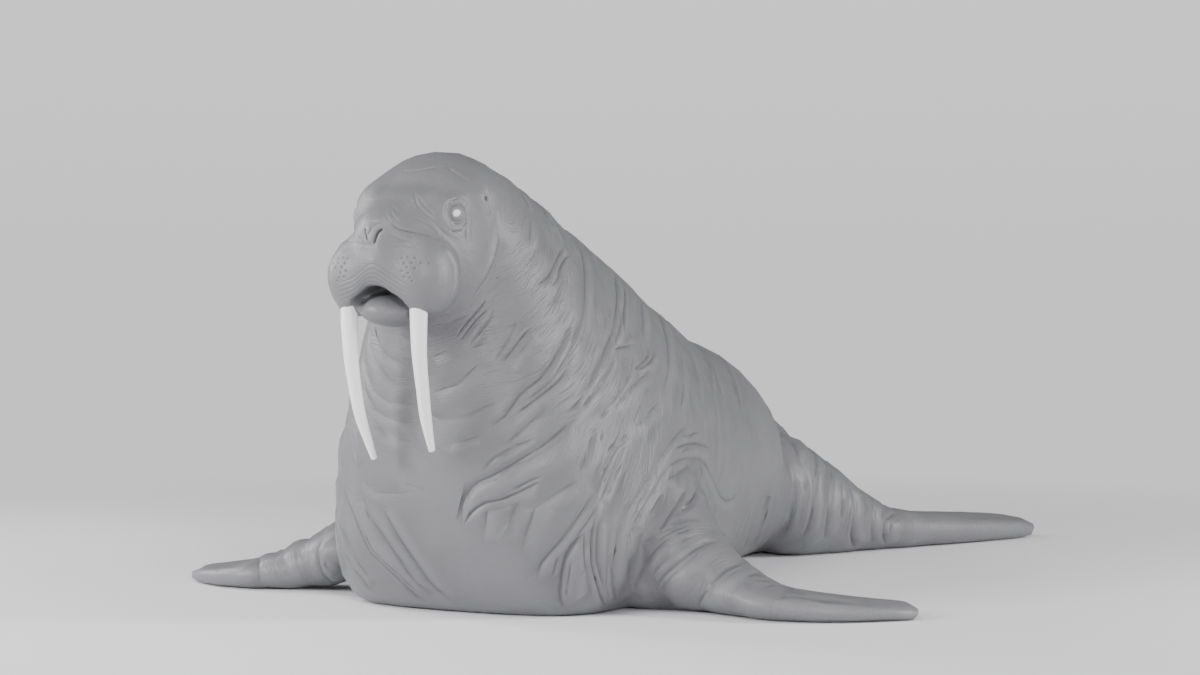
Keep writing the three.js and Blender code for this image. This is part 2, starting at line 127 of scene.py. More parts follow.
# Middle and radius of the smooth front of the chest and of each calm flank.
SMOOTH_CHEST = (((960, 40, 430), 560), ((900, 60, 90), 520))
CALM_FLANKS = (((-450, 430, 420), 700), ((-450, -430, 420), 700))
# Of each layer of folds, and of the bump: how much the chest and the flanks take away, and what is left.
CALMED = {"deep": (1.3, 0.9, 0.04), "medium": (1.2, 0.35, 0.08), "fine": (0.8, 0.0, 0.2),
          "wrinkled": (0.9, 0.4, 0.12)}
# How much the nape takes away from the larger folds, what it leaves of the fine ones, and how much the head
# takes away from the bump.
NAPE_CALM = 0.8
FINE_LEFT = 0.4
HEAD_CALM = 0.5
# Layers of folds: depth, spacing, length and seed. On a limb the first number is what is left on the flipper.
TRUNK_FOLDS = {"deep": (10, 104, 900, 21), "medium": (5.5, 60, 560, 33), "fine": (2.6, 27, 340, 47)}
LIMB_FOLDS = ((0.0, 12, 72, 600, 71), (0.2, 5.5, 31, 300, 81), (0.3, 2.2, 14, 140, 91))
# How far folds wander over which distance, with a seed: those of the trunk, of the limbs and of the bump.
TRUNK_SWAY = ((60, 420, 3), (14, 130, 5))
LIMB_SWAY = (26, 150, 60)
BUMP_SWAY = (10, 90, 15)
# A fold's section is a half wave raised to this power, whose mean height is the second number.
FOLD_ROUNDNESS = 0.65
FOLD_MEAN = 0.74
# How many spacings folds drift, and over how many, and between which levels of noise they come and go, which
# changes over how many spacings and over which part of their length.
FOLD_DRIFT = 1.3
DRIFT_SPAN = 4
FOLD_GAPS = (-0.35, 0.45)
GAP_SPAN = 1.7
GAP_LIE = 1.5
# How much the drawn creases and the camera's side take away from the folds of noise.
DRAWN_CALM = 0.7
SEEN_CALM = 0.5
# Between which cosines to the camera the hide counts as seen.
SEEN_EDGE = (-0.15, 0.15)
# The smaller folds of the neck slant forwards and down: how much, above which level, and over which distance
# in front of the ribs that sets in.
SLANT = 1.3
SLANT_LEVEL = 560.0
SLANT_REACH = (100, 800)
# Fine wrinkles: how far apart they are and how long.
WRINKLE_SPACING = 9.0
WRINKLE_LENGTH = 60.0
# Where a limb or the head has this share of a point, between a part and the trunk, the bump's lines meet.
MEETING = (0.3, 0.7)
# How deep below its surroundings, in millimetres, counts as the full depth of a crease, where the painted
# shade in the hide's colour is darkest. The surroundings are found by evening out the hide so strongly and so
# many times.
FULL_CAVITY = 2.2
CAVITY_EVENING = 0.8
CAVITY_ROUNDS = 10

# How far from a drawn crease the crest of its fold lies and where the fold ends, in widths of the crease,
# and how much higher the folds are than the list says.
FOLD_WIDTH = 2.4
FOLD_REACH = 5.0
FOLD_HEIGHT = 1.25
# How deep the drawn creases are cut on the body and on the head, against the depth in the list.
BODY_DEPTH = 0.85
HEAD_DEPTH = 0.9
# In how many widths a crease fades on the side of its fold and on the other, and how narrow its ends are.
CREASE_SLOPES = (0.2, 0.42)
NARROW_END = 0.5
# How far out the grid is finer along a crease: in widths, and in millimetres beyond.
FINE_REACH = (1.2, 8)
# Over what share of its length, at either end, a crease fades, and from which share of its reach sideways.
LINE_END = 0.16
REACH_FADE = 0.65
# How far apart the samples of a line on the hide are, and how often the line is evened out.
LINE_STEP = 4.0
LINE_SMOOTHING = 5
# A drawn line ends where the next point on the hide is further away than this, and starts again there if it
# has fewer samples than this.
LINE_BREAK = 60.0
SHORTEST_LINE = 4
# A crease at least this deep and long, in samples of a curve, has fine wrinkles beside it: how many, how far
# from it in pixels of the photograph, and their width, depth and rim in millimetres.
ACCOMPANIED = (7.5, 9)
COMPANIONS = 2
COMPANION_GAP = (4.0, 9.0)
COMPANION = (5, 2.6, 1.2)
# How far apart the samples are from which they are made, in pixels, the seed of their places, by what share
# of the crease they start late at most, and what share of it they run along.
COMPANION_STEP = 6
COMPANION_SEED = 5
COMPANION_START = 0.3
COMPANION_LENGTH = (0.55, 0.8)

# In the frame of the head, in millimetres.
EYE_CENTRE = np.array((968.0, 145.0, 1163.0))
EYE_FACING = np.array((0.66, 0.74, 0.12))
EYE_RADIUS = 31.0
EYE_SLANT = math.radians(28)
# Half the length of the opening between the lids, and its heights above and below the middle.
EYE_OPENING = (12.5, 10.0, 8.5)
# How far from its middle an eye changes the face, and how far behind the middle that begins.
EYE_REACH = 80
EYE_BEHIND = -5
# How thick the lids are, how far behind the eyeball's surface the skin between them lies, and their creases:
# how far out, in openings, how wide and how deep.
LID_THICKNESS = 4.5
LID_GAP = 8
LID_CREASES = ((1.75, 0.22, 1.5), (2.6, 0.25, 2.2))
# Where the lids run out into the face, and the rings round them: spacing, height, and where they come and go.
LID_EDGE = (21, 46)
EYE_RINGS = (7.5, 1.3, (22, 30), (40, 62))
# Middle and radius of the face, and how near its middle, from 0 at the radius to 1, the grid is finer and
# is thinned less.
FACE_CENTRE = (1090, 0, 1060)
FACE_RADIUS = 480
FACE_SHARE = (0.25, 0.2)
# The wrinkles of the bump lie round this point, in rings that are stretched along the head.
MOUTH_MIDDLE = np.array((1120.0, -12.0, 905.0))
MOUTH_SQUEEZE = (0.6, 1, 1)
# How far the corners of the upper lip drop, and how far its middle and the right pad stand to the right.
LIP_DROP = 5.0
LIP_SHIFT = 13.0
PAD_SHIFT = 6.0
# Where along the head these moves set in, and between which heights each comes and goes.
LIP_FRONT = (1040, 1100)
DROP_LEVELS = ((850, 900), (925, 1030))
SHIFT_LEVELS = ((880, 920), (940, 1000))
PAD_LEVELS = ((830, 900), (1000, 1080))
# How far from the middle the corners lie and how wide they are, half the width of the middle, and how far
# out the pad's move sets in.
LIP_CORNERS = (50, 22)
LIP_MIDDLE = 42
PAD_SIDE = (60, 150)
# An ear hole by its pixel of the photograph, and radius and depth of it and of a pore.
EAR_HOLE = (487, 198)
EAR_HOLE_SIZE = (5.5, 18.0)
PORE_SIZE = (3.0, 3.6)
# Middle of each ring of the left tusk, then its half widths across and along the head.
TUSK_STATIONS = (
    (1085, 104, 980, 25, 28), (1096, 105, 900, 25, 28), (1092, 104, 780, 21.5, 23.5),
    (1075, 103, 690, 18.5, 21), (1045, 99, 585, 16, 18), (1004, 95, 480, 9, 10),
)
# How much shorter than that each tusk is worn, and how much further out it stands above its tip.
TUSK_SHAPES = {"left": (13, 0), "right": (-15, 16)}
# How far apart a tusk's rings are, how many corners each has, and how far its blunt tip is drawn in and out.
TUSK_STEP = 9.0
TUSK_CORNERS = 40
TUSK_TIP = (3.5, 2.6)
# Growth lines of a tusk: depth, width, length and seed.
TUSK_GROOVES = ((0.7, 7, 160, 31), (0.35, 3.5, 90, 37))

LAMPS_AIM_AT = Vector((0.2, 0.0, 0.7))
# Each lamp's place, width and height, in metres.
LAMPS = {
    "key": ((5.4, -3.2, 2.3), 2.4, 2.4),
    "fill": ((5.9, 5.4, 2.5), 1.4, 1.4),
    "side_right": ((-1.7, 5.6, 2.7), 0.9, 3.6),
    "side_left": ((0.6, -5.6, 3.0), 1.1, 4.0),
    "overhead": ((3.0, 0.2, 4.6), 2.6, 2.6),
}
# Brightness of the studio at the horizon as the camera sees it, and of what it adds to the lamps' light.
HORIZON_LIGHT = 0.9
STUDIO_LIGHT = 0.22
# How far out the floor fades into the light at the horizon, and half its width, in metres.
FLOOR_FADE = (1.7, 5.0)
FLOOR_REACH = 40
# How far the camera sees, in metres.
CAMERA_CLIP = 200

# Creases by pixels of the photograph: width and depth of the crease and height of the fold beside it,
# in millimetres. A fold with a minus sign lies on the other side of its line.
CREASES = (
    # Neck and side of the chest.
    (18, 12, -8, ((574, 320), (557, 354), (545, 373), (538, 381), (521, 394), (505, 416), (487, 428))),
    (10, 7, -5, ((580, 246), (584, 262), (585, 280), (585, 298), (583, 318), (571, 341), (568, 354))),
    (14, 10, -7, ((614, 272), (617, 286), (618, 300), (616, 318), (612, 335), (593, 375), (588, 388),
                  (581, 400), (564, 414), (554, 426))),
    (10, 7, -5, ((613, 352), (612, 363), (608, 373), (580, 410))),
    (20, 15, -10, ((576, 419), (565, 427), (547, 443), (496, 474), (477, 483), (470, 490), (464, 498),
                   (461, 508), (461, 520), (464, 532))),
    (12, 8, -5, ((537, 437), (502, 453), (492, 460), (480, 474))),
    (9, 6, -4, ((566, 366), (561, 377), (553, 386), (512, 418))),
    (8, 4, -3, ((550, 404), (520, 432), (500, 447))),
    (10, 8, -5, ((545, 479), (503, 499), (483, 503), (465, 521), (463, 528))),
    (8, 4, -3, ((545, 477), (532, 480), (512, 491))),
    (10, 6, -4, ((580, 479), (540, 504), (533, 512))),
    (12, 8, -6, ((601, 424), (594, 432), (590, 441), (584, 462), (579, 473))),
    (16, 10, -7, ((601, 483), (573, 526), (554, 549), (545, 558), (539, 569), (537, 582))),
    (14, 5, -4, ((537, 500), (524, 540), (521, 553))),
    (14, 5, -4, ((521, 498), (514, 510), (503, 537))),
    (10, 4, -3, ((490, 505), (486, 517), (483, 543))),
    (18, 13, -10, ((583, 532), (574, 543), (567, 555), (563, 568), (560, 594), (561, 603), (566, 611))),
    (10, 9, -6, ((594, 513), (591, 547), (592, 562), (595, 577), (605, 609))),
    (9, 7, -5, ((600, 515), (597, 533), (596, 550), (598, 565), (604, 592))),
    (10, 4, -3, ((585, 560), (590, 590), (594, 603))),
    (12, 8, -5, ((532, 325), (501, 365))),
    (16, 5, -3, ((520, 318), (507, 342), (494, 362))),
    (12, 4, -3, ((541, 245), (527, 275))),
    # Shoulder and back.
    (14, 8, -7, ((692, 420), (688, 424), (668, 448), (653, 475), (631, 508), (624, 520), (619, 532),
                  (614, 560), (613, 576), (614, 592), (617, 606))),
    (10, 8, -6, ((660, 482), (637, 519), (631, 531), (627, 545), (625, 562))),
    (12, 9, -6, ((632, 430), (618, 445), (607, 462), (597, 482), (594, 492), (593, 503))),
    (10, 8, -6, ((628, 444), (621, 453), (607, 484), (600, 507))),
    (9, 6, -4, ((655, 372), (646, 374), (625, 395), (611, 415))),
    (7, 5, -4, ((634, 352), (632, 366), (629, 376), (616, 396), (602, 414), (597, 423))),
    (10, 5, -4, ((660, 399), (655, 408), (633, 430))),
    (9, 4, -3, ((642, 400), (635, 421))),
    (9, 6, -4, ((641, 302), (644, 328), (643, 340))),
    (12, 7, -5, ((652, 306), (660, 318), (665, 332), (668, 346), (669, 360), (668, 374), (662, 400))),
    (14, 8, -5, ((623, 284), (625, 298), (622, 330))),
    (6, 6, 4, ((623, 341), (633, 336))),
    (8, 7, 4, ((611, 352), (618, 348), (634, 345))),
    (8, 8, -5, ((648, 346), (650, 354), (645, 361), (633, 371))),
    (7, 6, -4, ((655, 350), (652, 360), (646, 367), (638, 371))),
    (8, 5, -3, ((681, 352), (684, 384), (680, 410))),
    (7, 3, -3, ((690, 352), (696, 370), (699, 388), (699, 406))),
    (7, 3, -3, ((706, 352), (710, 368), (712, 386), (712, 402))),
    (7, 3, -3, ((701, 348), (710, 362), (717, 378), (722, 394), (725, 410))),
    (7, 3, -3, ((714, 350), (726, 364), (734, 380), (739, 398), (741, 416))),
    # Star of folds behind the foreleg.
    (12, 12, 7, ((671, 450), (679, 448), (687, 444), (696, 443), (711, 449))),
    (7, 8, 3, ((679, 438), (687, 437), (700, 432))),
    (9, 7, 4, ((662, 470), (669, 465), (678, 461), (688, 458), (697, 458), (704, 462), (709, 470),
               (718, 492), (724, 501), (731, 502), (737, 495), (741, 485))),
    (11, 7, 4, ((697, 461), (701, 469), (703, 480), (702, 493), (703, 505), (710, 527), (716, 533),
                (723, 535), (729, 529), (738, 510))),
    (10, 13, -5, ((697, 488), (695, 497), (684, 508))),
    (7, 5, -4, ((688, 487), (656, 536))),
    (6, 6, -3, ((697, 504), (688, 507), (673, 519))),
    (5, 5, -3, ((694, 520), (686, 522), (678, 522), (670, 525), (664, 530))),
    (6, 6, -4, ((694, 525), (685, 527), (667, 535), (659, 541), (653, 548))),
    (8, 8, -5, ((698, 528), (689, 530), (669, 539), (653, 553), (644, 569))),
    (14, 10, -7, ((722, 541), (711, 542), (701, 546), (692, 552), (668, 572), (656, 586))),
    (8, 6, -4, ((661, 543), (646, 563), (633, 593))),
    (6, 4, -3, ((671, 556), (663, 563), (650, 578))),
    (14, 6, -3, ((690, 467), (682, 470), (665, 482))),
    (5, 5, -3, ((697, 475), (699, 491))),
    # Wrist and near flipper.
    (16, 13, -8, ((752, 560), (732, 567), (724, 572), (716, 579), (702, 597), (698, 605), (699, 612))),
    (6, 3, -2, ((728, 571), (718, 577), (710, 586), (705, 595))),
    (7, 4, 2, ((717, 552), (723, 549), (731, 548))),
    (9, 5, 3, ((746, 579), (757, 575), (768, 574), (780, 576), (791, 581))),
    (9, 5, 3, ((741, 587), (750, 582), (763, 581), (811, 589))),
    (8, 5, 3, ((762, 588), (775, 586), (790, 588), (820, 595), (840, 597))),
    (8, 5, 3, ((778, 600), (790, 597), (808, 599), (825, 603), (845, 603), (860, 605))),
    (6, 4, 2, ((780, 596), (789, 593), (799, 594), (807, 597))),
    (8, 6, -3, ((766, 607), (774, 618))),
    # Flank.
    (5, 2.5, -1.5, ((741, 513), (731, 539))),
    (6, 2.5, -2, ((747, 505), (742, 521), (732, 546))),
    (6, 2.5, -2, ((754, 498), (750, 513), (739, 543))),
    (7, 3, -2, ((762, 492), (759, 508), (743, 549))),
    (7, 3, -2, ((770, 490), (768, 507), (752, 554))),
    (7, 3, -2, ((778, 498), (775, 512), (757, 549))),
    (8, 5, -4, ((793, 470), (795, 487), (794, 503), (791, 518), (787, 530), (781, 541))),
    # Hind leg.
    (9, 5, -4, ((791, 441), (796, 452), (799, 463))),
    (12, 9, -6, ((815, 453), (817, 468), (812, 512), (808, 527), (802, 538))),
    (14, 12, -8, ((831, 469), (832, 481), (831, 495), (827, 528), (824, 541))),
    (13, 11, -8, ((848, 483), (853, 493), (856, 504), (851, 535), (853, 544), (856, 550))),
    (9, 5, -4, ((852, 500), (846, 540))),
    (12, 8, -6, ((871, 500), (874, 508), (872, 532), (873, 543))),
    (14, 12, -7, ((899, 513), (892, 516), (886, 521), (883, 535), (884, 542), (888, 547))),
    (8, 4, -3, ((804, 470), (807, 500), (805, 516), (801, 530))),
    (7, 3, -3, ((840, 478), (842, 492), (841, 508), (838, 524))),
    # Far side of the chest.
    (14, 10, -6, ((339, 497), (337, 513), (338, 529), (341, 545), (347, 558), (354, 569), (370, 588),
                  (377, 594))),
    (18, 14, -9, ((343, 488), (367, 547), (376, 558), (408, 589), (420, 598), (433, 605))),
    (9, 4, -3, ((362, 500), (372, 519), (402, 562), (412, 575), (437, 599))),
    (11, 7, -5, ((378, 500), (398, 536), (428, 580), (440, 592), (463, 607))),
    (7, 4, 3, ((361, 478), (369, 487), (378, 493), (390, 493), (404, 495))),
    (6, 3, 2, ((398, 478), (408, 484), (430, 491))),
    (7, 7, -4, ((353, 430), (357, 449))),
    (7, 7, -4, ((353, 455), (357, 470))),
    (8, 5, -3, ((338, 462), (343, 490))),
    (10, 9, -5, ((327, 534), (320, 544), (318, 556), (320, 567), (325, 576), (333, 582), (343, 584))),
    # Far foreleg.
    (9, 8, -5, ((260, 552), (259, 575), (262, 586))),
    (9, 6, -4, ((285, 543), (284, 555), (285, 566), (288, 577))),
    (8, 4, -3, ((303, 539), (305, 550), (304, 561), (307, 573))),
    (5, 4, -3, ((231, 558), (233, 566))),
    # Throat.
    (9, 5, 3, ((368, 330), (371, 348), (378, 365), (389, 378), (402, 384), (412, 385))),
    (8, 4, 3, ((372, 322), (377, 340), (386, 354), (398, 362), (410, 364))),
    (9, 5, 3, ((363, 352), (366, 372), (373, 389), (385, 400), (400, 406), (414, 407))),
    (9, 5, 3, ((363, 378), (368, 396), (378, 411), (392, 420), (408, 423), (416, 423))),
    (9, 4, 3, ((368, 412), (378, 426), (392, 437), (406, 442), (418, 443))),
    (10, 6, 4, ((431, 392), (445, 389), (458, 384), (466, 377), (480, 361))),
    (7, 4, 3, ((431, 358), (440, 355), (450, 349))),
    (8, 4, 3, ((432, 417), (458, 416), (470, 414), (482, 409), (492, 403), (503, 400))),
    (7, 4, 3, ((440, 446), (475, 438), (484, 433))),
    (6, 4, -3, ((487, 298), (479, 309), (463, 327), (456, 338))),
    (6, 4, -3, ((492, 302), (484, 313), (476, 320), (460, 342))),
    (6, 3, -3, ((497, 305), (483, 330), (466, 350))),
    # Nape and cheek.
    (9, 9, -5, ((565, 247), (560, 252), (558, 259), (553, 267), (550, 275), (545, 281), (539, 284),
                (533, 289))),
    (14, 10, -4, ((570, 255), (564, 260), (557, 278))),
    (7, 6, -4, ((560, 275), (551, 288))),
    (9, 7, -4, ((541, 206), (550, 223))),
    (8, 7, -3, ((552, 229), (560, 238))),
    (7, 5, -3, ((568, 240), (575, 253))),
    (8, 5, -3, ((521, 193), (530, 209))),
    (8, 5, -3, ((581, 243), (588, 250), (593, 258))),
    (10, 5, -4, ((529, 215), (531, 228), (528, 250))),
    (6, 4, -3, ((566, 300), (555, 302), (547, 306), (545, 311))),
    (7, 3.5, -1, ((495, 212), (498, 230), (497, 249), (489, 272), (480, 287), (470, 300))),
    (5, 2, -1, ((465, 203), (466, 222), (465, 244))),
    # Forehead, brow and lids.
    (6, 3, -1.35, ((447, 168), (470, 183))),
    (5, 2, -0.68, ((400, 171), (415, 171), (445, 166))),
    (42, 11, 0, ((374, 187), (400, 183), (436, 184), (452, 189), (462, 200))),
    (5, 2.5, -0.54, ((414, 190), (415, 200), (419, 208), (432, 219), (437, 226))),
    (4, 2, -0.45, ((418, 195), (422, 204), (435, 216))),
    (4, 2.5, -0.68, ((448, 211), (451, 205), (457, 201), (463, 203), (466, 209))),
    (4, 2.5, -0.68, ((446, 207), (452, 199), (460, 197), (467, 201))),
    (4, 2.5, 0.68, ((449, 220), (455, 222), (460, 221), (464, 216))),
    (4, 2.5, 0.68, ((449, 226), (456, 227), (462, 224), (466, 218))),
    (5, 3.5, 0.54, ((449, 231), (456, 233), (462, 231), (466, 225), (467, 218))),
    (4, 2, -0.45, ((433, 220), (438, 227), (450, 237))),
    (5, 2.5, -0.54, ((411, 217), (426, 224), (440, 235))),
    (4, 2, -0.45, ((417, 219), (424, 222), (431, 227))),
    (7, 5, 1.35, ((389, 222), (396, 228), (404, 231), (432, 236), (447, 243))),
    (9, 7, 4, ((440, 240), (448, 246), (454, 254), (458, 264), (459, 275), (458, 287), (454, 297),
               (448, 304))),
    # Nostrils and the skin round them.
    (6, 16, -3, ((365, 227), (365.4, 232), (366.4, 237), (368, 241.5))),
    (6.5, 18, 3, ((384, 228.5), (380.5, 228.6), (377.6, 231.5), (375.6, 236), (374.2, 240.5), (373.4, 245))),
    (4, 2.5, -0.68, ((357, 229), (358.5, 235), (361, 241))),
    (4, 2, 0.45, ((368, 223), (373, 221), (379, 223))),
    (4, 2, 0.45, ((341, 233), (349, 231), (357, 232))),
    (4, 2, 0.45, ((340, 238), (350, 236), (359, 238))),
    (4, 2, 0.45, ((338, 243), (348, 241), (358, 243), (364, 246))),
    (4, 1.5, -0.36, ((383, 213), (386, 216), (389, 221))),
    (4, 1.5, -0.36, ((391, 213), (394, 217), (398, 222))),
    (4, 1.5, -0.36, ((392, 206), (395, 210), (399, 214))),
    (4, 1.5, 0.45, ((390, 243), (400, 241), (410, 242))),
    (4, 1.5, 0.45, ((392, 248), (404, 246), (416, 248))),
)

# The edge of the upper lip by pixels of the photograph, and the wrinkles that run along it: how many, how
# many pixels apart at the middle and at the corners of the mouth, how far out those are, and the wrinkles'
# width, depth and rim.
LIP_EDGE = ((336, 306), (345, 303), (354.6, 298), (363, 291), (372, 285), (381, 289), (392, 297),
            (403, 304), (414, 309))
LIP_WRINKLES = 5
LIP_SPACING = (4.4, 4.2)
LIP_HALF = 40
LIP_WRINKLE = (3.5, 2, 0.4)

# Whisker pores on the pads, by pixels of the photograph.
PORES = (
    (402, 258), (408, 257), (415, 258), (404, 263), (412, 263), (421, 263), (429, 263), (407, 267),
    (415, 268), (402, 271), (408, 273), (404, 277), (410, 278), (412, 281),
)


def linear(hex_colour, alpha=1.0):
    """An sRGB hex colour as the linear colour that a shader takes."""
    parts = [int(hex_colour[i:i + 2], 16) / 255.0 for i in (1, 3, 5)]
    return tuple(c / 12.92 if c <= 0.04045 else ((c + 0.055) / 1.055) ** 2.4 for c in parts) + (alpha,)


def add_node(tree, kind, settings=None, **links):
    """A node with its settings, and its inputs set or linked by name or number."""
    node = tree.nodes.new(kind)
    for name, value in (settings or {}).items():
        setattr(node, name, value)
    for key, value in links.items():
        socket = node.inputs[int(key[2:])] if key.startswith("in") else node.inputs[key.replace("_", " ")]
        if isinstance(value, bpy.types.NodeSocket):
            tree.links.new(value, socket)
        else:
            socket.default_value = value
    return node


def as_mesh(grid, name):
    """An edited mesh as finished data."""
    mesh = bpy.data.meshes.new(name)
    grid.to_mesh(mesh)
    grid.free()
    return mesh


def finished_piece(mesh, name, slot, material, *nodes):
    """Links a smooth mesh as a piece that rides on the body and stands for those CAD nodes."""
    mesh.polygons.foreach_set("use_smooth", [True] * len(mesh.polygons))
    mesh.materials.clear()
    mesh.materials.append(material)
    piece = bpy.data.objects.new(name, mesh)
    bpy.context.scene.collection.objects.link(piece)
    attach(piece, BODY)
    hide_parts(*nodes)
    return piece


# Seeded noise on arrays of points

# Brings the noise to between about -1 and 1.
NOISE_GAIN = 1.6
GRADIENTS = np.random.RandomState(7).normal(size=(256, 3))
GRADIENTS /= np.linalg.norm(GRADIENTS, axis=1, keepdims=True)
SHUFFLE = np.random.RandomState(11).permutation(256)


def noise(points, seed=0):
    """Smooth gradient noise between about -1 and 1 with cells one unit wide."""
    cell = np.floor(points).astype(np.int64)
    share = points - cell
    fade = share ** 3 * (share * (share * 6 - 15) + 10)
    total = np.zeros(len(points))
    for corner in range(8):
        step = np.array([corner & 1, corner >> 1 & 1, corner >> 2 & 1])
        at = (cell + step) & 255
        key = SHUFFLE[(SHUFFLE[(SHUFFLE[(at[:, 0] + seed) & 255] + at[:, 1]) & 255] + at[:, 2]) & 255]
        weight = np.prod(np.where(step, fade, 1 - fade), axis=1)
        total += weight * np.einsum("ij,ij->i", GRADIENTS[key], share - step)
    return total * NOISE_GAIN


def ramp(values, low, high):
    """Eased from 0 at low to 1 at high."""
    share = np.clip((values - low) / (high - low), 0, 1)
    return share * share * (3 - 2 * share)


def near(points, centre, radius):
    """1 at a centre, easing to 0 at a radius from it."""
    return 1 - ramp(np.linalg.norm(points - np.asarray(centre, float), axis=1), 0, radius)


# The flesh as one surface

def flesh_shell(voxel):
    """The flesh nodes and what fills the eye sockets as one closed surface without partings."""
    joined = bmesh.new()
    inside = ["eye_left", "eye_right", "tusk_left", "tusk_right"]
    for name in [n for n in FLESH if "eyelid" not in n] + inside:
        part = bmesh.new()
        part.from_mesh(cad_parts[name].data)
        bmesh.ops.remove_doubles(part, verts=part.verts, dist=WELD)
        if "tusk" in name:
            whole = part.verts[:] + part.edges[:] + part.faces[:]
            cut = bmesh.ops.bisect_plane(part, geom=whole, dist=1e-6, plane_co=(0, 0, TUSK_ROOT_HEIGHT),
                                         plane_no=(0, 0, -1), clear_outer=True)["geom_cut"]
            rim = [g for g in cut if isinstance(g, bmesh.types.BMEdge)]
            bmesh.ops.contextual_create(part, geom=rim)
        part.normal_update()
        for vert in part.verts:
            vert.co += vert.normal * OVERLAP
        mesh = as_mesh(part, "part")
        joined.from_mesh(mesh)
        bpy.data.meshes.remove(mesh)
    web = Matrix.Translation(Vector(WEB_CENTRE) * MM) @ Matrix.Diagonal((*WEB_RADII, 1))
    bmesh.ops.create_icosphere(joined, subdivisions=4, radius=MM, matrix=web)
    cells = {"mode": "VOXEL", "voxel_size": voxel, "adaptivity": 0}
    return with_modifiers(as_mesh(joined, "shell"), ("REMESH", cells))


def with_modifiers(mesh, *modifiers, groups=None):
    """The mesh as it comes out of those modifiers."""
    holder = bpy.data.objects.new("holder", mesh)
    bpy.context.scene.collection.objects.link(holder)
    for name, weights in (groups or {}).items():
        group = holder.vertex_groups.new(name=name)
        for level in np.unique(weights):
            group.add(np.nonzero(weights == level)[0].tolist(), float(level), "REPLACE")
    for kind, settings in modifiers:
        modifier = holder.modifiers.new(kind, kind)
        for name, value in settings.items():
            setattr(modifier, name, value)
    graph = bpy.context.evaluated_depsgraph_get()
    result = bpy.data.meshes.new_from_object(holder.evaluated_get(graph))
    bpy.data.objects.remove(holder)
    bpy.data.meshes.remove(mesh)
    return result


def positions(mesh):
    flat = np.empty(len(mesh.vertices) * 3)
    mesh.vertices.foreach_get("co", flat)
    return flat.reshape(-1, 3)


def normals(mesh):
    flat = np.empty(len(mesh.vertices) * 3)
    mesh.vertex_normals.foreach_get("vector", flat)
    return flat.reshape(-1, 3)


def move_to(mesh, points):
    mesh.vertices.foreach_set("co", points.reshape(-1))
    mesh.update()


def edge_pairs(mesh):
    flat = np.empty(len(mesh.edges) * 2, np.int64)
    mesh.edges.foreach_get("vertices", flat)
    return flat.reshape(-1, 2)


def neighbour_mean(values, pairs, degree):
    """For each vertex the mean of a value over its neighbours."""
    first, second = pairs[:, 0], pairs[:, 1]
    total = np.empty_like(values)
    for axis in range(values.shape[1]):
        column = values[:, axis]
        total[:, axis] = (np.bincount(first, column[second], len(values))
                          + np.bincount(second, column[first], len(values)))
    return total / degree[:, None]


def relaxed(mesh, weights, rounds):
    """Vertices drawn towards their neighbours, as far as each one's weight allows."""
    points = positions(mesh)
    pairs = edge_pairs(mesh)
    degree = np.bincount(pairs.ravel(), minlength=len(points)).astype(float)
    for _ in range(rounds):
        points += (weights * 0.5)[:, None] * (neighbour_mean(points, pairs, degree) - points)
    move_to(mesh, points)


# Coordinates that follow the body, in millimetres

def ring_coordinate(points):
    """How far along the trunk's middle line the ring through each point lies."""
    rings = np.array(TRUNK_RINGS, float)
    marks = np.arange(len(rings))
    fine = np.linspace(0, len(rings) - 1, RING_SAMPLES)
    rings = np.stack([np.interp(fine, marks, rings[:, k]) for k in range(4)], 1)
    back, belly = rings[:, :2], rings[:, 2:]
    middle = (back + belly) / 2
    upward = back - belly
    upward /= np.linalg.norm(upward, axis=1, keepdims=True)
    forward = np.stack([upward[:, 1], -upward[:, 0]], 1)
    plan = points[:, [0, 2]]
    along = np.zeros(len(points))
    ahead = (plan - middle[0]) @ forward[0]
    for k in range(len(rings) - 1):
        further = (plan - middle[k + 1]) @ forward[k + 1]
        share = np.clip(ahead / np.maximum(ahead - further, 1e-6), 0, 1)
        along += np.where(ahead > 0, share, 0) * np.linalg.norm(middle[k + 1] - middle[k])
        ahead = further
    return along


def limb_coordinate(points, line):
    """How far along a limb's middle line each point lies, and how far from it."""
    line = np.array(line, float)
    best = np.full(len(points), 1e9)
    along = np.zeros(len(points))
    passed = 0.0
    for start, end in zip(line[:-1], line[1:]):
        step = end - start
        length = np.linalg.norm(step)
        share = np.clip((points - start) @ step / length ** 2, 0, 1)
        distance = np.linalg.norm(points - start - share[:, None] * step, axis=1)
        closer = distance < best
        best = np.where(closer, distance, best)
        along = np.where(closer, passed + share * length, along)
        passed += length
    return along, best


def in_head(points):
    """Points in the frame of the head, which is turned a little to the left."""
    turn = Matrix.Rotation(-HEAD_TURN, 3, "Z")
    return (points - HEAD_PIVOT) @ np.array(turn).T + HEAD_PIVOT


def out_of_head(points):
    """Points of the head's own frame in the frame of the animal."""
    turn = Matrix.Rotation(HEAD_TURN, 3, "Z")
    return (points - HEAD_PIVOT) @ np.array(turn).T + HEAD_PIVOT


# Folds

def fold_layer(points, along, spacing, length, seed):
    """Long rounded folds side by side with sharp creases between them, which come and go."""
    lie = points[:, 1:] / length
    drift = noise(np.column_stack([along / (DRIFT_SPAN * spacing), lie]), seed)
    fading = noise(np.column_stack([along / (GAP_SPAN * spacing), GAP_LIE * lie]), seed + 1)
    fold = np.abs(np.sin(math.pi * (along / spacing + FOLD_DRIFT * drift))) ** FOLD_ROUNDNESS
    return (fold - FOLD_MEAN) * ramp(fading, *FOLD_GAPS)


def wandering(points, sway, size, seed):
    """How far folds sway to and fro."""
    return sway * noise(points / size, seed)


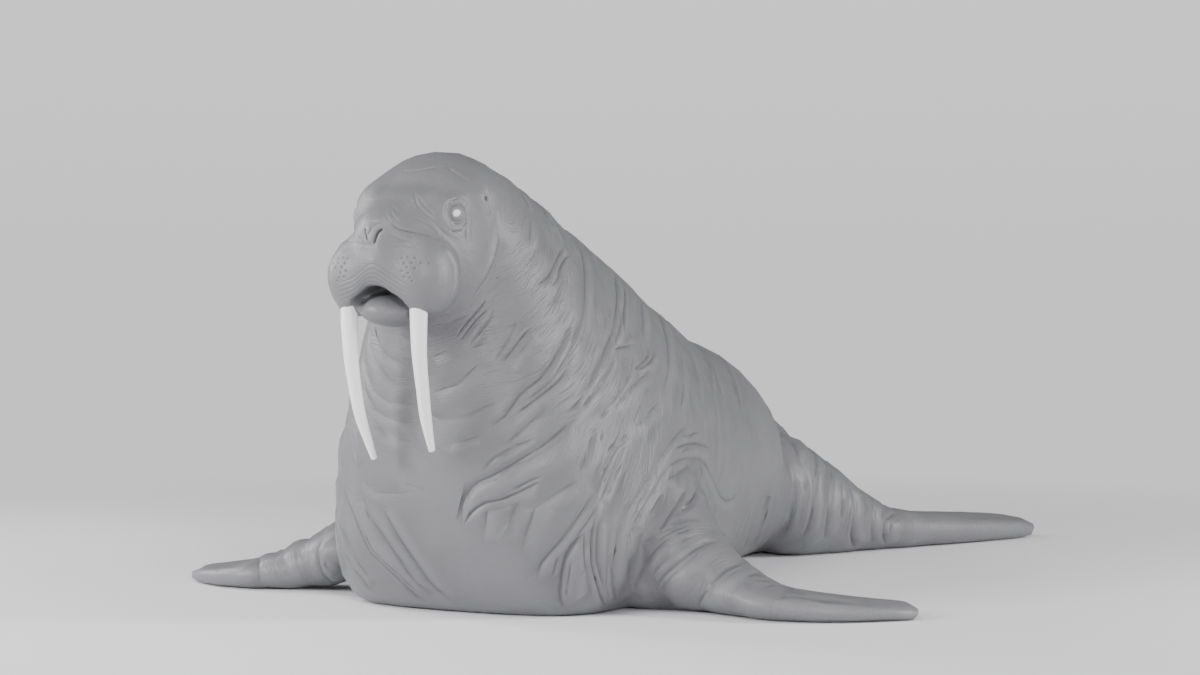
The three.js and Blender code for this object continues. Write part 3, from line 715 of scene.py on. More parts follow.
def noise_folds(points, regions):
    """Folds and wrinkles over the whole hide, in millimetres."""
    along = regions["ring"] + (wandering(points, *TRUNK_SWAY[0]) + wandering(points, *TRUNK_SWAY[1]))
    slanted = along + regions["slant"]
    total = 0
    for name, (depth, *layer) in TRUNK_FOLDS.items():
        place = along if name == "deep" else slanted
        total = total + regions["trunk"] * regions[name] * depth * fold_layer(points, place, *layer)
    sway, size, first = LIMB_SWAY
    for number, name in enumerate(LIMB_LINES):
        limb_along, limb = regions[name]
        on = np.nonzero(limb > 0.01)[0]
        limb, place = limb[on], points[on]
        limb_along = limb_along[on] + wandering(place, sway, size, first + number)
        fleshy = 1 - ramp(limb_along, *LIMB_WRIST[name])
        for left, depth, spacing, length, seed in LIMB_FOLDS:
            share = left + (1 - left) * fleshy
            total[on] += limb * share * depth * fold_layer(place, limb_along, spacing, length, seed + number)
    return total


def body_regions(points):
    """Where each point lies: along the rings, on the head or a limb, and how folded it is there."""
    regions = {"ring": ring_coordinate(points)}
    local = in_head(points)
    ahead = (local - HEAD_EDGE) @ HEAD_EDGE_FACING
    head = ramp(ahead, *HEAD_BLEND)
    limbs = np.zeros(len(points))
    for name, line in LIMB_LINES.items():
        along, distance = limb_coordinate(points, line)
        limb = ramp(along, *LIMB_ROOT[name]) * (1 - ramp(distance, *LIMB_FADE))
        regions[name] = along, limb
        limbs = np.maximum(limbs, limb)
    regions["head"] = head
    regions["local"] = local
    regions["slant"] = SLANT * np.maximum(points[:, 2] - SLANT_LEVEL, 0) * ramp(points[:, 0], *SLANT_REACH)
    regions["trunk"] = (1 - head) * (1 - limbs)
    smooth = np.maximum(*(near(points, *ball) for ball in SMOOTH_CHEST))
    flank = sum(near(points, *ball) for ball in CALM_FLANKS)
    nape = 1 - NAPE_CALM * ramp(ahead, *NAPE_BLEND)
    shares = {"deep": nape, "medium": nape, "fine": FINE_LEFT + (1 - FINE_LEFT) * nape,
              "wrinkled": 1 - HEAD_CALM * head}
    for name, (chest, side, least) in CALMED.items():
        regions[name] = np.clip(1 - chest * smooth - side * flank, least, 1) * shares[name]
    return regions


# Creases that follow lines of the photograph

def camera_place():
    """Where the camera stands and how it is turned."""
    turn = Euler((math.radians(90 - CAMERA_DOWN), 0, math.radians(90 + CAMERA_YAW)))
    return Matrix.Translation(CAMERA_AT) @ turn.to_matrix().to_4x4()


def smooth_line(corners, step=2.5):
    """A curve through pixels of the photograph, with a sample about every step pixels."""
    corners = np.array(corners, float)
    padded = np.vstack([2 * corners[0] - corners[1], corners, 2 * corners[-1] - corners[-2]])
    samples = []
    for a, b, c, d in zip(padded, padded[1:], padded[2:], padded[3:]):
        count = max(2, int(np.linalg.norm(c - b) / step))
        for t in np.linspace(0, 1, count, endpoint=False):
            bend = 2 * a - 5 * b + 4 * c - d + t * (3 * b - a - 3 * c + d)
            samples.append(b + 0.5 * t * (c - a + t * bend))
    samples.append(corners[-1])
    return samples


def laid_line(tree, corners):
    """A drawn line where it lies on the hide: its points in millimetres and the normals there."""
    place = camera_place()
    focal = PHOTO_WIDTH * CAMERA_LENS / CAMERA_SENSOR
    points, facings = [], []
    for u, v in smooth_line(corners):
        aim = Vector(((u - PHOTO_WIDTH / 2) / focal, (PHOTO_HEIGHT / 2 - v) / focal, -1))
        hit, facing, _, _ = tree.ray_cast(place.translation, (place.to_3x3() @ aim).normalized())
        if hit is None:
            continue
        if points and (hit / MM - points[-1]).length > LINE_BREAK:
            if len(points) >= SHORTEST_LINE:
                continue
            points, facings = [], []
        points.append(hit / MM)
        facings.append(facing)
    return even_line(np.array(points), np.array(facings))


def even_line(points, facings):
    """The line without kinks, and with its samples the same distance apart."""
    if len(points) < SHORTEST_LINE:
        return points, facings
    both = np.hstack([points, facings])
    for _ in range(LINE_SMOOTHING):
        both[1:-1] += 0.5 * ((both[:-2] + both[2:]) / 2 - both[1:-1])
    passed = np.append(0, np.cumsum(np.linalg.norm(np.diff(both[:, :3], axis=0), axis=1)))
    places = np.linspace(0, passed[-1], max(5, int(passed[-1] / LINE_STEP)))
    both = np.stack([np.interp(places, passed, column) for column in both.T], 1)
    return both[:, :3], both[:, 3:] / np.linalg.norm(both[:, 3:], axis=1, keepdims=True)


def mirrored_line(tree, points):
    """The same line on the other side of the animal."""
    found = [tree.find_nearest(Vector((x, -y, z)) * MM) for x, y, z in points]
    return np.array([hit / MM for hit, _, _, _ in found]), np.array([facing for _, facing, _, _ in found])


def lip_creases():
    """The wrinkles that run along the upper lip, as rows like those of the list."""
    rows = []
    middle = LIP_EDGE[len(LIP_EDGE) // 2][0]
    for number in range(1, LIP_WRINKLES + 1):
        corners = []
        for u, v in LIP_EDGE:
            apart = np.interp(abs(u - middle), (0, LIP_HALF), LIP_SPACING)
            corners.append((u, v - number * apart))
        rows.append((*LIP_WRINKLE, tuple(corners)))
    return tuple(rows)


def companion_creases():
    """Fine wrinkles that run along beside the longer creases, as rows like those of the list."""
    chance = np.random.RandomState(COMPANION_SEED)
    rows = []
    for _, depth, lip, corners in CREASES:
        path = np.array(smooth_line(corners, COMPANION_STEP))
        if depth < ACCOMPANIED[0] or not lip or len(path) < ACCOMPANIED[1]:
            continue
        across = np.gradient(path, axis=0)[:, ::-1] * (1, -1)
        across /= np.linalg.norm(across, axis=1, keepdims=True)
        for number in range(COMPANIONS):
            gap = chance.uniform(*COMPANION_GAP) * (1 if number % 2 else -1)
            first = int(chance.uniform(0, COMPANION_START) * len(path))
            last = first + max(5, int(chance.uniform(*COMPANION_LENGTH) * len(path)))
            beside = (path + gap * across)[first:last:2]
            width, deep, rim = COMPANION
            rows.append((width, deep, math.copysign(rim, lip), tuple(map(tuple, beside))))
    return tuple(rows)


def drawn_lines(mesh):
    """Each drawn crease as it lies on the hide, and its mirror image on the other side."""
    grid = bmesh.new()
    grid.from_mesh(mesh)
    tree = BVHTree.FromBMesh(grid)
    grid.free()
    pairs = []
    for width, depth, lip, corners in CREASES + lip_creases() + companion_creases():
        line, facings = laid_line(tree, corners)
        if len(line) >= SHORTEST_LINE:
            mirrored = mirrored_line(tree, line)
            pairs.append(((line, facings, width, depth, lip), (*mirrored, width, depth, -lip)))
    pits = [(laid_line(tree, (corner, corner))[0][0], *PORE_SIZE) for corner in PORES]
    pits.append((laid_line(tree, (EAR_HOLE, EAR_HOLE))[0][0], *EAR_HOLE_SIZE))
    return pairs, pits


def beside_line(points, line, reach):
    """Which points lie within reach of a line, and the line's nearest sample to each."""
    box = (points > line.min(0) - reach) & (points < line.max(0) + reach)
    inside = np.nonzero(box[:, 0] & box[:, 1] & box[:, 2])[0]
    near_points = points[inside]
    best = np.full(len(inside), np.inf)
    index = np.zeros(len(inside), int)
    for k, sample in enumerate(line):
        distance = ((near_points - sample) ** 2).sum(1)
        closer = distance < best
        best[closer] = distance[closer]
        index[closer] = k
    close = best < reach ** 2
    return inside[close], index[close]


def beside_crease(points, line, facings, width, lip):
    """The points near a crease, the section of the crease and of its fold there, and how near it they are."""
    reach = FOLD_REACH * width
    inside, index = beside_line(points, line, reach)
    near_points = points[inside]
    tangents = np.gradient(line, axis=0)
    padded = np.vstack([tangents[:1].repeat(2, 0), tangents, tangents[-1:].repeat(2, 0)])
    tangents = np.stack([np.convolve(padded[:, k], np.ones(5) / 5, "valid") for k in range(3)], 1)
    step = np.linalg.norm(tangents, axis=1, keepdims=True)
    tangents = tangents / step
    offset = near_points - line[index]
    ahead = np.einsum("ij,ij->i", offset, tangents[index])
    offset = offset - ahead[:, None] * tangents[index]
    side = np.cross(tangents, facings)
    side /= np.linalg.norm(side, axis=1, keepdims=True)
    across = np.einsum("ij,ij->i", offset, side[index]) / width
    across = across if lip >= 0 else -across
    share = (index + np.clip(ahead / step[index, 0], -2, 2)) / (len(line) - 1)
    taper = ramp(share, 0, LINE_END) * ramp(1 - share, 0, LINE_END)
    across = across / (NARROW_END + (1 - NARROW_END) * taper)
    if lip:
        groove = np.exp(-np.abs(across) / np.where(across > 0, *CREASE_SLOPES))
    else:
        groove = np.exp(-across ** 2)
    wide = np.maximum(across, 0) / FOLD_WIDTH
    fold = wide * np.exp((1 - wide ** 2) / 2)
    held = taper * (1 - ramp(np.linalg.norm(offset, axis=1), REACH_FADE * reach, reach))
    return inside, held * groove, held * fold, held


def drawn_side(strips, points):
    """The drawn creases of one side: how far they and their folds move each point, and what they cover.

    Where folds meet the higher one stands, and every crease cuts through them to its own depth.
    """
    soft, bulge, cut, section, cover = np.zeros((5, len(points)))
    for line, facings, width, depth, lip in strips:
        inside, groove, fold, held = beside_crease(points, line, facings, width, lip)
        cover[inside] = np.maximum(cover[inside], held)
        if not lip:
            soft[inside] -= depth * groove
            continue
        bulge[inside] = np.maximum(bulge[inside], FOLD_HEIGHT * abs(lip) * fold)
        cut[inside] = np.maximum(cut[inside], depth * groove)
        section[inside] = np.maximum(section[inside], groove)
    return soft + bulge * (1 - section) - cut, cover


def drawn_folds(pairs, points, seen):
    """All the drawn creases, with their mirror images where the camera doesn't see, and what they cover."""
    drawn, covered = drawn_side([pair[0] for pair in pairs], points)
    away = np.nonzero(seen < 1)[0]
    mirrored, hidden = drawn_side([pair[1] for pair in pairs], points[away])
    unseen = 1 - seen[away]
    drawn[away] += unseen * mirrored
    covered[away] = np.maximum(covered[away], unseen * hidden)
    return drawn, covered


def small_pits(pits, local):
    """Whisker pores on both pads and the ear holes."""
    rise = np.zeros(len(local))
    for at, radius, depth in pits:
        centre = in_head(at)
        for side in (1, -1):
            away = ((local - centre * (1, side, 1)) ** 2).sum(1)
            rise -= depth * np.exp(-away / radius ** 2)
    return rise


# The face

def eye_frame(side):
    """The middle of an eye and its directions: backwards along the lids, up, and out."""
    centre = EYE_CENTRE * (1, side, 1)
    out = EYE_FACING * (1, side, 1)
    out = out / np.linalg.norm(out)
    back = np.cross((0, 0, 1), out) * side
    back /= np.linalg.norm(back)
    up = np.array((0, 0, 1)) - out[2] * out
    up /= np.linalg.norm(up)
    along = math.cos(EYE_SLANT) * back + math.sin(EYE_SLANT) * up
    return centre, along, math.cos(EYE_SLANT) * up - math.sin(EYE_SLANT) * back, out


def with_eyelids(points):
    """Head points with two lids round an almond opening over each eyeball."""
    points = points.copy()
    for side in (1, -1):
        centre, along, up, out = eye_frame(side)
        offset = points - centre
        radius = np.linalg.norm(offset, axis=1)
        close = np.nonzero((radius < EYE_REACH) & (offset @ out > EYE_BEHIND))[0]
        offset = offset[close]
        radius = radius[close]
        x, y = offset @ along, offset @ up
        height = np.where(y > 0, EYE_OPENING[1], EYE_OPENING[2])
        oval = np.sqrt((x / EYE_OPENING[0]) ** 2 + (y / height) ** 2 + 1e-6)
        spread = np.sqrt(x * x + y * y)
        lid = EYE_RADIUS + LID_THICKNESS
        for out_at, width, depth in LID_CREASES:
            lid = lid - depth * np.exp(-((oval - out_at) / width) ** 2)
        lid = np.where(oval < 1.05, EYE_RADIUS - LID_GAP, lid)
        hold = 1 - ramp(spread, *LID_EDGE)
        spacing, rise, comes, goes = EYE_RINGS
        rings = rise * np.cos(spread / spacing * 2 * math.pi)
        rings = rings * ramp(spread, *comes) * (1 - ramp(spread, *goes))
        target = radius + hold * (lid - radius) + rings
        points[close] = centre + offset * (target / radius)[:, None]
    return points


def between(values, low, high):
    """Rises from 0 to 1 over the first range and falls again over the second."""
    return ramp(values, *low) * (1 - ramp(values, *high))


def with_lips(local):
    """Head points with the corners of the upper lip drawn down, and its middle and the right pad moved."""
    x, y, z = local.T
    front = ramp(x, *LIP_FRONT)
    beside = np.exp(-((np.abs(y - MOUTH_MIDDLE[1]) - LIP_CORNERS[0]) / LIP_CORNERS[1]) ** 2)
    middle = np.exp(-((y - MOUTH_MIDDLE[1]) / LIP_MIDDLE) ** 2)
    moved = local.copy()
    moved[:, 2] -= LIP_DROP * beside * between(z, *DROP_LEVELS) * front
    moved[:, 1] -= LIP_SHIFT * middle * between(z, *SHIFT_LEVELS) * front
    moved[:, 1] -= PAD_SHIFT * ramp(-y, *PAD_SIDE) * between(z, *PAD_LEVELS) * front
    return moved


# Materials

def blank_material(name):
    material = bpy.data.materials.new(name)
    material.use_nodes = True
    material.node_tree.nodes.clear()
    return material, material.node_tree


def finish_material(tree, shader):
    add_node(tree, "ShaderNodeOutputMaterial", Surface=shader.outputs["BSDF"])


def own_attribute(tree, name, output):
    """What the hide's own data say at each point."""
    return add_node(tree, "ShaderNodeAttribute", {"attribute_name": name}).outputs[output]


def combined(tree, operation, first, second):
    """Two numbers worked into one."""
    return add_node(tree, "ShaderNodeMath", {"operation": operation}, in0=first, in1=second).outputs[0]


def tinted(tree, colour, factor):
    """A colour multiplied by a grey factor."""
    return add_node(tree, "ShaderNodeMix", {"data_type": "RGBA", "blend_type": "MULTIPLY"}, in0=1.0,
                    in6=colour, in7=factor).outputs[2]


def hide_material(colour):
    """Walrus hide: thick dry skin, matt with a soft sheen, finely cracked between its folds, with painted
    shade in its creases and a faint painted highlight on its ridges.
    """
    material, tree = blank_material("Walrus hide, dry and creased")
    place = add_node(tree, "ShaderNodeTexCoord").outputs["Object"]
    flow = own_attribute(tree, "flow", "Vector")
    # Patches a hand wide, a little lighter and darker.
    patches = add_node(tree, "ShaderNodeTexNoise", Vector=place, Scale=7.0, Detail=3.0).outputs["Fac"]
    tint = add_node(tree, "ShaderNodeMapRange", Value=patches, in1=0.3, in2=0.7, in3=0.95, in4=1.05)
    # Painted shade: the colour is darkened down to half where the hide lies deep in a crease, and lightened a
    # little on the ridges as a painted highlight.
    shade = add_node(tree, "ShaderNodeMapRange", Value=own_attribute(tree, "cavity", "Fac"),
                     in1=-1.0, in2=1.0, in3=1.07, in4=0.5)
    both = combined(tree, "MULTIPLY", shade.outputs[0], tint.outputs[0])
    # Wrinkles that run with the folds, sharp at the bottom and up to 2 mm deep, soft leathery bumps 8 mm
    # across, and a grain of 3 mm, which is about twice the real one so that it shows.
    wrinkles = add_node(tree, "ShaderNodeTexNoise", {"noise_type": "RIDGED_MULTIFRACTAL", "normalize": True},
                        Vector=flow, Scale=1.0, Detail=3.0, Roughness=0.5)
    sunk = combined(tree, "SUBTRACT", 1.0, wrinkles.outputs["Fac"])
    height = combined(tree, "MULTIPLY", sunk, own_attribute(tree, "wrinkled", "Fac"))
    leather = add_node(tree, "ShaderNodeTexNoise", Vector=place, Scale=120.0, Detail=2.0)
    grain = add_node(tree, "ShaderNodeTexVoronoi", Vector=place, Scale=300.0)
    low = add_node(tree, "ShaderNodeBump", Strength=1.0, Distance=0.0022, Height=height)
    middle = add_node(tree, "ShaderNodeBump", Strength=0.5, Distance=0.0016, Height=leather.outputs["Fac"],
                      Normal=low.outputs["Normal"])
    high = add_node(tree, "ShaderNodeBump", Strength=0.35, Distance=0.0012, Height=grain.outputs["Distance"],
                    Normal=middle.outputs["Normal"])
    shader = add_node(tree, "ShaderNodeBsdfPrincipled", Roughness=0.42, IOR=1.5,
                      Base_Color=tinted(tree, colour, both), Normal=high.outputs["Normal"])
    finish_material(tree, shader)
    return material


def eye_material(colour):
    """Wet eyeball: a smooth pale ball under a clear film that catches the lights."""
    material, tree = blank_material("Eyeball, wet")
    place = add_node(tree, "ShaderNodeTexCoord").outputs["Object"]
    veins = add_node(tree, "ShaderNodeTexNoise", Vector=place, Scale=160.0, Detail=3.0).outputs["Fac"]
    tone = add_node(tree, "ShaderNodeMapRange", Value=veins, in1=0.35, in2=0.65, in3=0.97, in4=1.0)
    shader = add_node(tree, "ShaderNodeBsdfPrincipled", Roughness=0.12, IOR=1.4,
                      Base_Color=tinted(tree, colour, tone.outputs[0]), Coat_Weight=0.6, Coat_Roughness=0.05)
    finish_material(tree, shader)
    return material


def tusk_material(colour):
    """Ivory: dense and satin, with faint growth lines along its length."""
    material, tree = blank_material("Ivory, worn smooth")
    place = add_node(tree, "ShaderNodeTexCoord").outputs["Object"]
    stretched = add_node(tree, "ShaderNodeMapping", Vector=place, Scale=(1.0, 1.0, 0.05)).outputs["Vector"]
    lines = add_node(tree, "ShaderNodeTexNoise", Vector=stretched, Scale=260.0, Detail=4.0).outputs["Fac"]
    tone = add_node(tree, "ShaderNodeMapRange", Value=lines, in1=0.3, in2=0.7, in3=0.94, in4=1.0)
    bump = add_node(tree, "ShaderNodeBump", Strength=0.25, Distance=0.0006, Height=lines)
    shader = add_node(tree, "ShaderNodeBsdfPrincipled", Roughness=0.35, IOR=1.54,
                      Base_Color=tinted(tree, colour, tone.outputs[0]), Normal=bump.outputs["Normal"])
    finish_material(tree, shader)
    return material


def floor_material(colour):
    """Painted studio floor: matt and even, and lost in the light of the studio further out."""
    material, tree = blank_material("Matt paint, rolled")
    place = add_node(tree, "ShaderNodeTexCoord").outputs["Object"]
    stipple = add_node(tree, "ShaderNodeTexNoise", Vector=place, Scale=300.0).outputs["Fac"]
    bump = add_node(tree, "ShaderNodeBump", Strength=0.05, Distance=0.0005, Height=stipple)
    paint = add_node(tree, "ShaderNodeBsdfPrincipled", Base_Color=colour, Roughness=0.8,
                     Normal=bump.outputs["Normal"])
    haze = add_node(tree, "ShaderNodeEmission", Color=(1, 1, 1, 1), Strength=HORIZON_LIGHT)
    distance = add_node(tree, "ShaderNodeVectorMath", {"operation": "LENGTH"}, in0=place)
    far = add_node(tree, "ShaderNodeMapRange", {"interpolation_type": "SMOOTHSTEP"},
                   Value=distance.outputs["Value"], in1=FLOOR_FADE[0], in2=FLOOR_FADE[1])
    mixed = add_node(tree, "ShaderNodeMixShader", Fac=far.outputs[0], in1=paint.outputs["BSDF"],
                     in2=haze.outputs["Emission"])
    add_node(tree, "ShaderNodeOutputMaterial", Surface=mixed.outputs["Shader"])
    return material


def studio_light():
    """A pale backdrop on all sides, and the little light that the room gives beside the lamps."""
    world = bpy.data.worlds.new("studio")
    world.use_nodes = True
    tree = world.node_tree
    tree.nodes.clear()
    heading = add_node(tree, "ShaderNodeTexCoord").outputs["Generated"]
    height = add_node(tree, "ShaderNodeSeparateXYZ", Vector=heading).outputs["Z"]
    # An eighth brighter over the first 7 degrees above the horizon.
    rising = add_node(tree, "ShaderNodeMapRange", Value=height, in1=0.0, in2=0.12, in3=HORIZON_LIGHT,
                      in4=HORIZON_LIGHT * 1.12)
    seen = add_node(tree, "ShaderNodeLightPath").outputs["Is Camera Ray"]
    strength = add_node(tree, "ShaderNodeMix", {"data_type": "FLOAT"}, in0=seen, in2=STUDIO_LIGHT,
                        in3=rising.outputs[0])
    sky = add_node(tree, "ShaderNodeBackground", Color=(1, 1, 1, 1), Strength=strength.outputs[0])
    add_node(tree, "ShaderNodeOutputWorld", Surface=sky.outputs["Background"])
    return world


# What a user may change

class WalrusHideSettings(bpy.types.PropertyGroup):
    colour: bpy.props.FloatVectorProperty(
        name="Hide colour", description="Colour of the dry hide", subtype="COLOR", size=4,
        min=0, max=1, default=linear("#808084"))
    grid: bpy.props.FloatProperty(
        name="Working grid", description="Cell size of the grid that joins the flesh into one surface",
        default=0.009, min=0.006, max=0.02, unit="LENGTH")
    fold_depth: bpy.props.FloatProperty(
        name="Fold depth", description="Depth of all folds against the finished animal's", default=1.0,
        min=0, max=2, subtype="FACTOR")


class WalrusEyeSettings(bpy.types.PropertyGroup):
    colour: bpy.props.FloatVectorProperty(
        name="Eye colour", description="Colour of the eyeballs", subtype="COLOR", size=4,
        min=0, max=1, default=linear("#ececee"))


class WalrusTuskSettings(bpy.types.PropertyGroup):
    colour: bpy.props.FloatVectorProperty(
        name="Tusk colour", description="Colour of the ivory", subtype="COLOR", size=4,
        min=0, max=1, default=linear("#fafafa"))


class WalrusStageSettings(bpy.types.PropertyGroup):
    floor_colour: bpy.props.FloatVectorProperty(
        name="Floor colour", description="Colour of the plain floor and backdrop", subtype="COLOR", size=4,
        min=0, max=1, default=linear("#ececee"))
    key_power: bpy.props.FloatProperty(
        name="Key light", description="Power of the lamp on the left", default=360.0, unit="POWER")
    fill_power: bpy.props.FloatProperty(
        name="Fill light", description="Power of the lamp beside the camera", default=270.0, unit="POWER")
    side_right_power: bpy.props.FloatProperty(
        name="Right strip", description="Power of the tall lamp on the right", default=310.0, unit="POWER")
    side_left_power: bpy.props.FloatProperty(
        name="Left strip", description="Power of the tall lamp behind on the left", default=240.0,
        unit="POWER")
    overhead_power: bpy.props.FloatProperty(
        name="Overhead", description="Power of the lamp above the head", default=92.0, unit="POWER")


# The pieces

class WALRUS_OT_hide(bpy.types.Operator):
    """Cover the flesh with one folded hide"""
    bl_idname = "walrus.hide"
    bl_label = "Folded hide"

    def execute(self, context):
        settings = context.scene.walrus_hide
        mesh = flesh_shell(settings.grid)
        soften_shell(mesh)
        lines, pits = drawn_lines(mesh)
        finer_grid(mesh, lines)
        halved = {"levels": 1, "render_levels": 1, "quality": 1, "use_limit_surface": False}
        mesh = with_modifiers(mesh, ("SUBSURF", halved))
        fold_hide(mesh, lines, pits, settings.fold_depth)
        record_creases(mesh)
        finished_piece(thinned(mesh), "hide", "skin", hide_material(settings.colour), *FLESH)
        return {"FINISHED"}


def soften_shell(mesh):
    """Takes the steps of the grid out of the shell, least where the CAD has fine forms."""
    regions = body_regions(positions(mesh) / MM)
    weights = SOFTENING["trunk"] * regions["trunk"] + SOFTENING["head"] * regions["head"]
    for name in LIMB_LINES:
        along, limb = regions[name]
        less = SOFTENING["flipper_less"] * ramp(along, *LIMB_WRIST[name])
        weights += limb * (SOFTENING["leg"] - less)
    relaxed(mesh, np.clip(weights, *SOFTENING_LIMITS), SOFTENING_ROUNDS)


def finer_grid(mesh, lines):
    """Halves the edges of the face and along the drawn creases."""
    points = positions(mesh) / MM
    fine = near(in_head(points), FACE_CENTRE, FACE_RADIUS) > FACE_SHARE[0]
    for (line, _, width, _, _), _ in lines:
        fine[beside_line(points, line, FINE_REACH[0] * width + FINE_REACH[1])[0]] = True
    grid = bmesh.new()
    grid.from_mesh(mesh)
    edges = [e for e in grid.edges if fine[e.verts[0].index] and fine[e.verts[1].index]]
    bmesh.ops.subdivide_edges(grid, edges=edges, cuts=1, use_grid_fill=True)
    grid.to_mesh(mesh)
    grid.free()


def fold_hide(mesh, lines, pits, scale):
    """Moves the surface into its folds, creases and features."""
    points = positions(mesh) / MM
    facings = normals(mesh)
    to_camera = np.array(CAMERA_AT) / MM - points
    to_camera /= np.linalg.norm(to_camera, axis=1, keepdims=True)
    seen = ramp(np.einsum("ij,ij->i", facings, to_camera), *SEEN_EDGE)
    regions = body_regions(points)
    drawn, covered = drawn_folds(lines, points, seen)
    drawn *= BODY_DEPTH + (HEAD_DEPTH - BODY_DEPTH) * regions["head"]
    spread = noise_folds(points, regions) * (1 - DRAWN_CALM * covered) * (1 - SEEN_CALM * seen)
    under = ramp(points[:, 2], *UNDERSIDE)
    points += (scale * (spread + drawn + small_pits(pits, regions["local"])) * under)[:, None] * facings
    points = out_of_head(with_eyelids(with_lips(in_head(points))))
    move_to(mesh, points * MM)


def thinned(mesh):
    """Drops triangles where the hide is plain and keeps them in the face."""
    local = in_head(positions(mesh) / MM)
    face = near(local, FACE_CENTRE, FACE_RADIUS) > FACE_SHARE[1]
    plain = np.where(face, FACE_THINNING, 1.0)
    triangles = len(mesh.loops) - 2 * len(mesh.polygons)
    settings = {"ratio": HIDE_TRIANGLES / triangles, "vertex_group": "plain", "vertex_group_factor": 1.0}
    mesh = with_modifiers(mesh, ("DECIMATE", settings), groups={"plain": plain})
    points = positions(mesh)
    points[:, 2] = np.maximum(points[:, 2], FLOOR_GAP * MM)
    move_to(mesh, points)
    return mesh


def record_creases(mesh):
    """Keeps on each vertex how deep in a crease it lies, and its place along and across the folds."""
    points = positions(mesh) / MM
    facings = normals(mesh)
    pairs = edge_pairs(mesh)
    degree = np.maximum(np.bincount(pairs.ravel(), minlength=len(points)), 1).astype(float)
    even = points.copy()
    for _ in range(CAVITY_ROUNDS):
        even += CAVITY_EVENING * (neighbour_mean(even, pairs, degree) - even)
    sunk = np.einsum("ij,ij->i", even - points, facings)
    regions = body_regions(points)
    ring = regions["ring"] + regions["slant"]
    along = ring * regions["trunk"]
    mouth = np.linalg.norm((regions["local"] - MOUTH_MIDDLE) * MOUTH_SQUEEZE, axis=1)
    for part, share in [regions[name] for name in LIMB_LINES] + [(-mouth, regions["head"])]:
        # Where a part meets the trunk both run on with like values, so that no line is crowded there.
        meeting = (share > MEETING[0]) & (share < MEETING[1])
        along += share * (part + np.mean((ring - part)[meeting]))
    along += wandering(points, *BUMP_SWAY)
    flow = np.column_stack([along / WRINKLE_SPACING, points[:, 1:] / WRINKLE_LENGTH])
    # The depth in a crease, kept as cavity, sets the painted shade in the creases and the faint painted
    # highlight on the ridges of the hide's colour.
    for name, kind, field, values in (
            ("cavity", "FLOAT", "value", np.clip(sunk / FULL_CAVITY, -1, 1)),
            ("flow", "FLOAT_VECTOR", "vector", flow.reshape(-1)),
            ("wrinkled", "FLOAT", "value", regions["wrinkled"])):
        mesh.attributes.new(name, kind, "POINT").data.foreach_set(field, values)


class WALRUS_OT_eyes(bpy.types.Operator):
    """Set both eyeballs behind their lids"""
    bl_idname = "walrus.eyes"
    bl_label = "Eyeballs"

    def execute(self, context):
        material = eye_material(context.scene.walrus_eyes.colour)
        for side, name in ((1, "left"), (-1, "right")):
            ball = bmesh.new()
            bmesh.ops.create_uvsphere(ball, u_segments=48, v_segments=32, radius=EYE_RADIUS * MM)
            centre = out_of_head((EYE_CENTRE * (1, side, 1))[None])[0]
            bmesh.ops.translate(ball, verts=ball.verts, vec=Vector(centre) * MM)
            mesh = as_mesh(ball, "eyeball_" + name)
            finished_piece(mesh, "eyeball_" + name, "eye", material, "eye_" + name)
        return {"FINISHED"}


class WALRUS_OT_tusks(bpy.types.Operator):
    """Grow both tusks along their curve"""
    bl_idname = "walrus.tusks"
    bl_label = "Tusks"

    def execute(self, context):
        material = tusk_material(context.scene.walrus_tusks.colour)
        for side, name in ((1, "left"), (-1, "right")):
            mesh = tusk_mesh(side, *TUSK_SHAPES[name])
            finished_piece(mesh, "ivory_" + name, "tusk", material, "tusk_" + name)
        return {"FINISHED"}


def tusk_mesh(side, wear, splay):
    """One tusk: a ring extruded from the gum to a blunt tip."""
    stations = np.array(TUSK_STATIONS, float)
    stations[:-1, 1] += splay
    stations[-1, 2] += wear
    rings = np.array(smooth_line(stations, TUSK_STEP))
    tusk = bmesh.new()
    ring = bmesh.ops.create_circle(tusk, segments=TUSK_CORNERS, radius=MM)["verts"]
    bmesh.ops.contextual_create(tusk, geom=ring)
    edges = list({e for v in ring for e in v.link_edges})
    previous = Matrix.Identity(4)
    for k, (x, y, z, across, along) in enumerate(rings):
        ahead = rings[min(k + 1, len(rings) - 1)] - rings[max(k - 1, 0)]
        heading = Vector(ahead[:3] * (1, side, 1)).normalized()
        place = ring_matrix(Vector((x, y * side, z)), heading, across, along)
        if k:
            made = bmesh.ops.extrude_edge_only(tusk, edges=edges)["geom"]
            ring = [g for g in made if isinstance(g, bmesh.types.BMVert)]
            edges = [g for g in made if isinstance(g, bmesh.types.BMEdge) and set(g.verts) <= set(ring)]
        bmesh.ops.transform(tusk, matrix=place @ previous.inverted(), verts=ring)
        previous = place
    tip = bmesh.ops.contextual_create(tusk, geom=edges)["faces"]
    bmesh.ops.inset_region(tusk, faces=tip, thickness=TUSK_TIP[0] * MM, depth=TUSK_TIP[1] * MM)
    bmesh.ops.recalc_face_normals(tusk, faces=tusk.faces)
    mesh = as_mesh(tusk, "ivory")
    points = out_of_head(positions(mesh) / MM)
    broad, thin = (depth * noise(points / (width, width, length), seed)
                   for depth, width, length, seed in TUSK_GROOVES)
    points -= (np.abs(broad) + thin)[:, None] * normals(mesh)
    move_to(mesh, points * MM)
    return mesh


def ring_matrix(centre, heading, across, along):
    """Places a unit ring across a heading, wider one way than the other."""
    sideways = Vector((0, 1, 0)).cross(heading).normalized()
    other = heading.cross(sideways)
    turn = Matrix((sideways, other, heading)).transposed().to_4x4()
    return Matrix.Translation(centre * MM) @ turn @ Matrix.Diagonal((along, across, 1, 1))


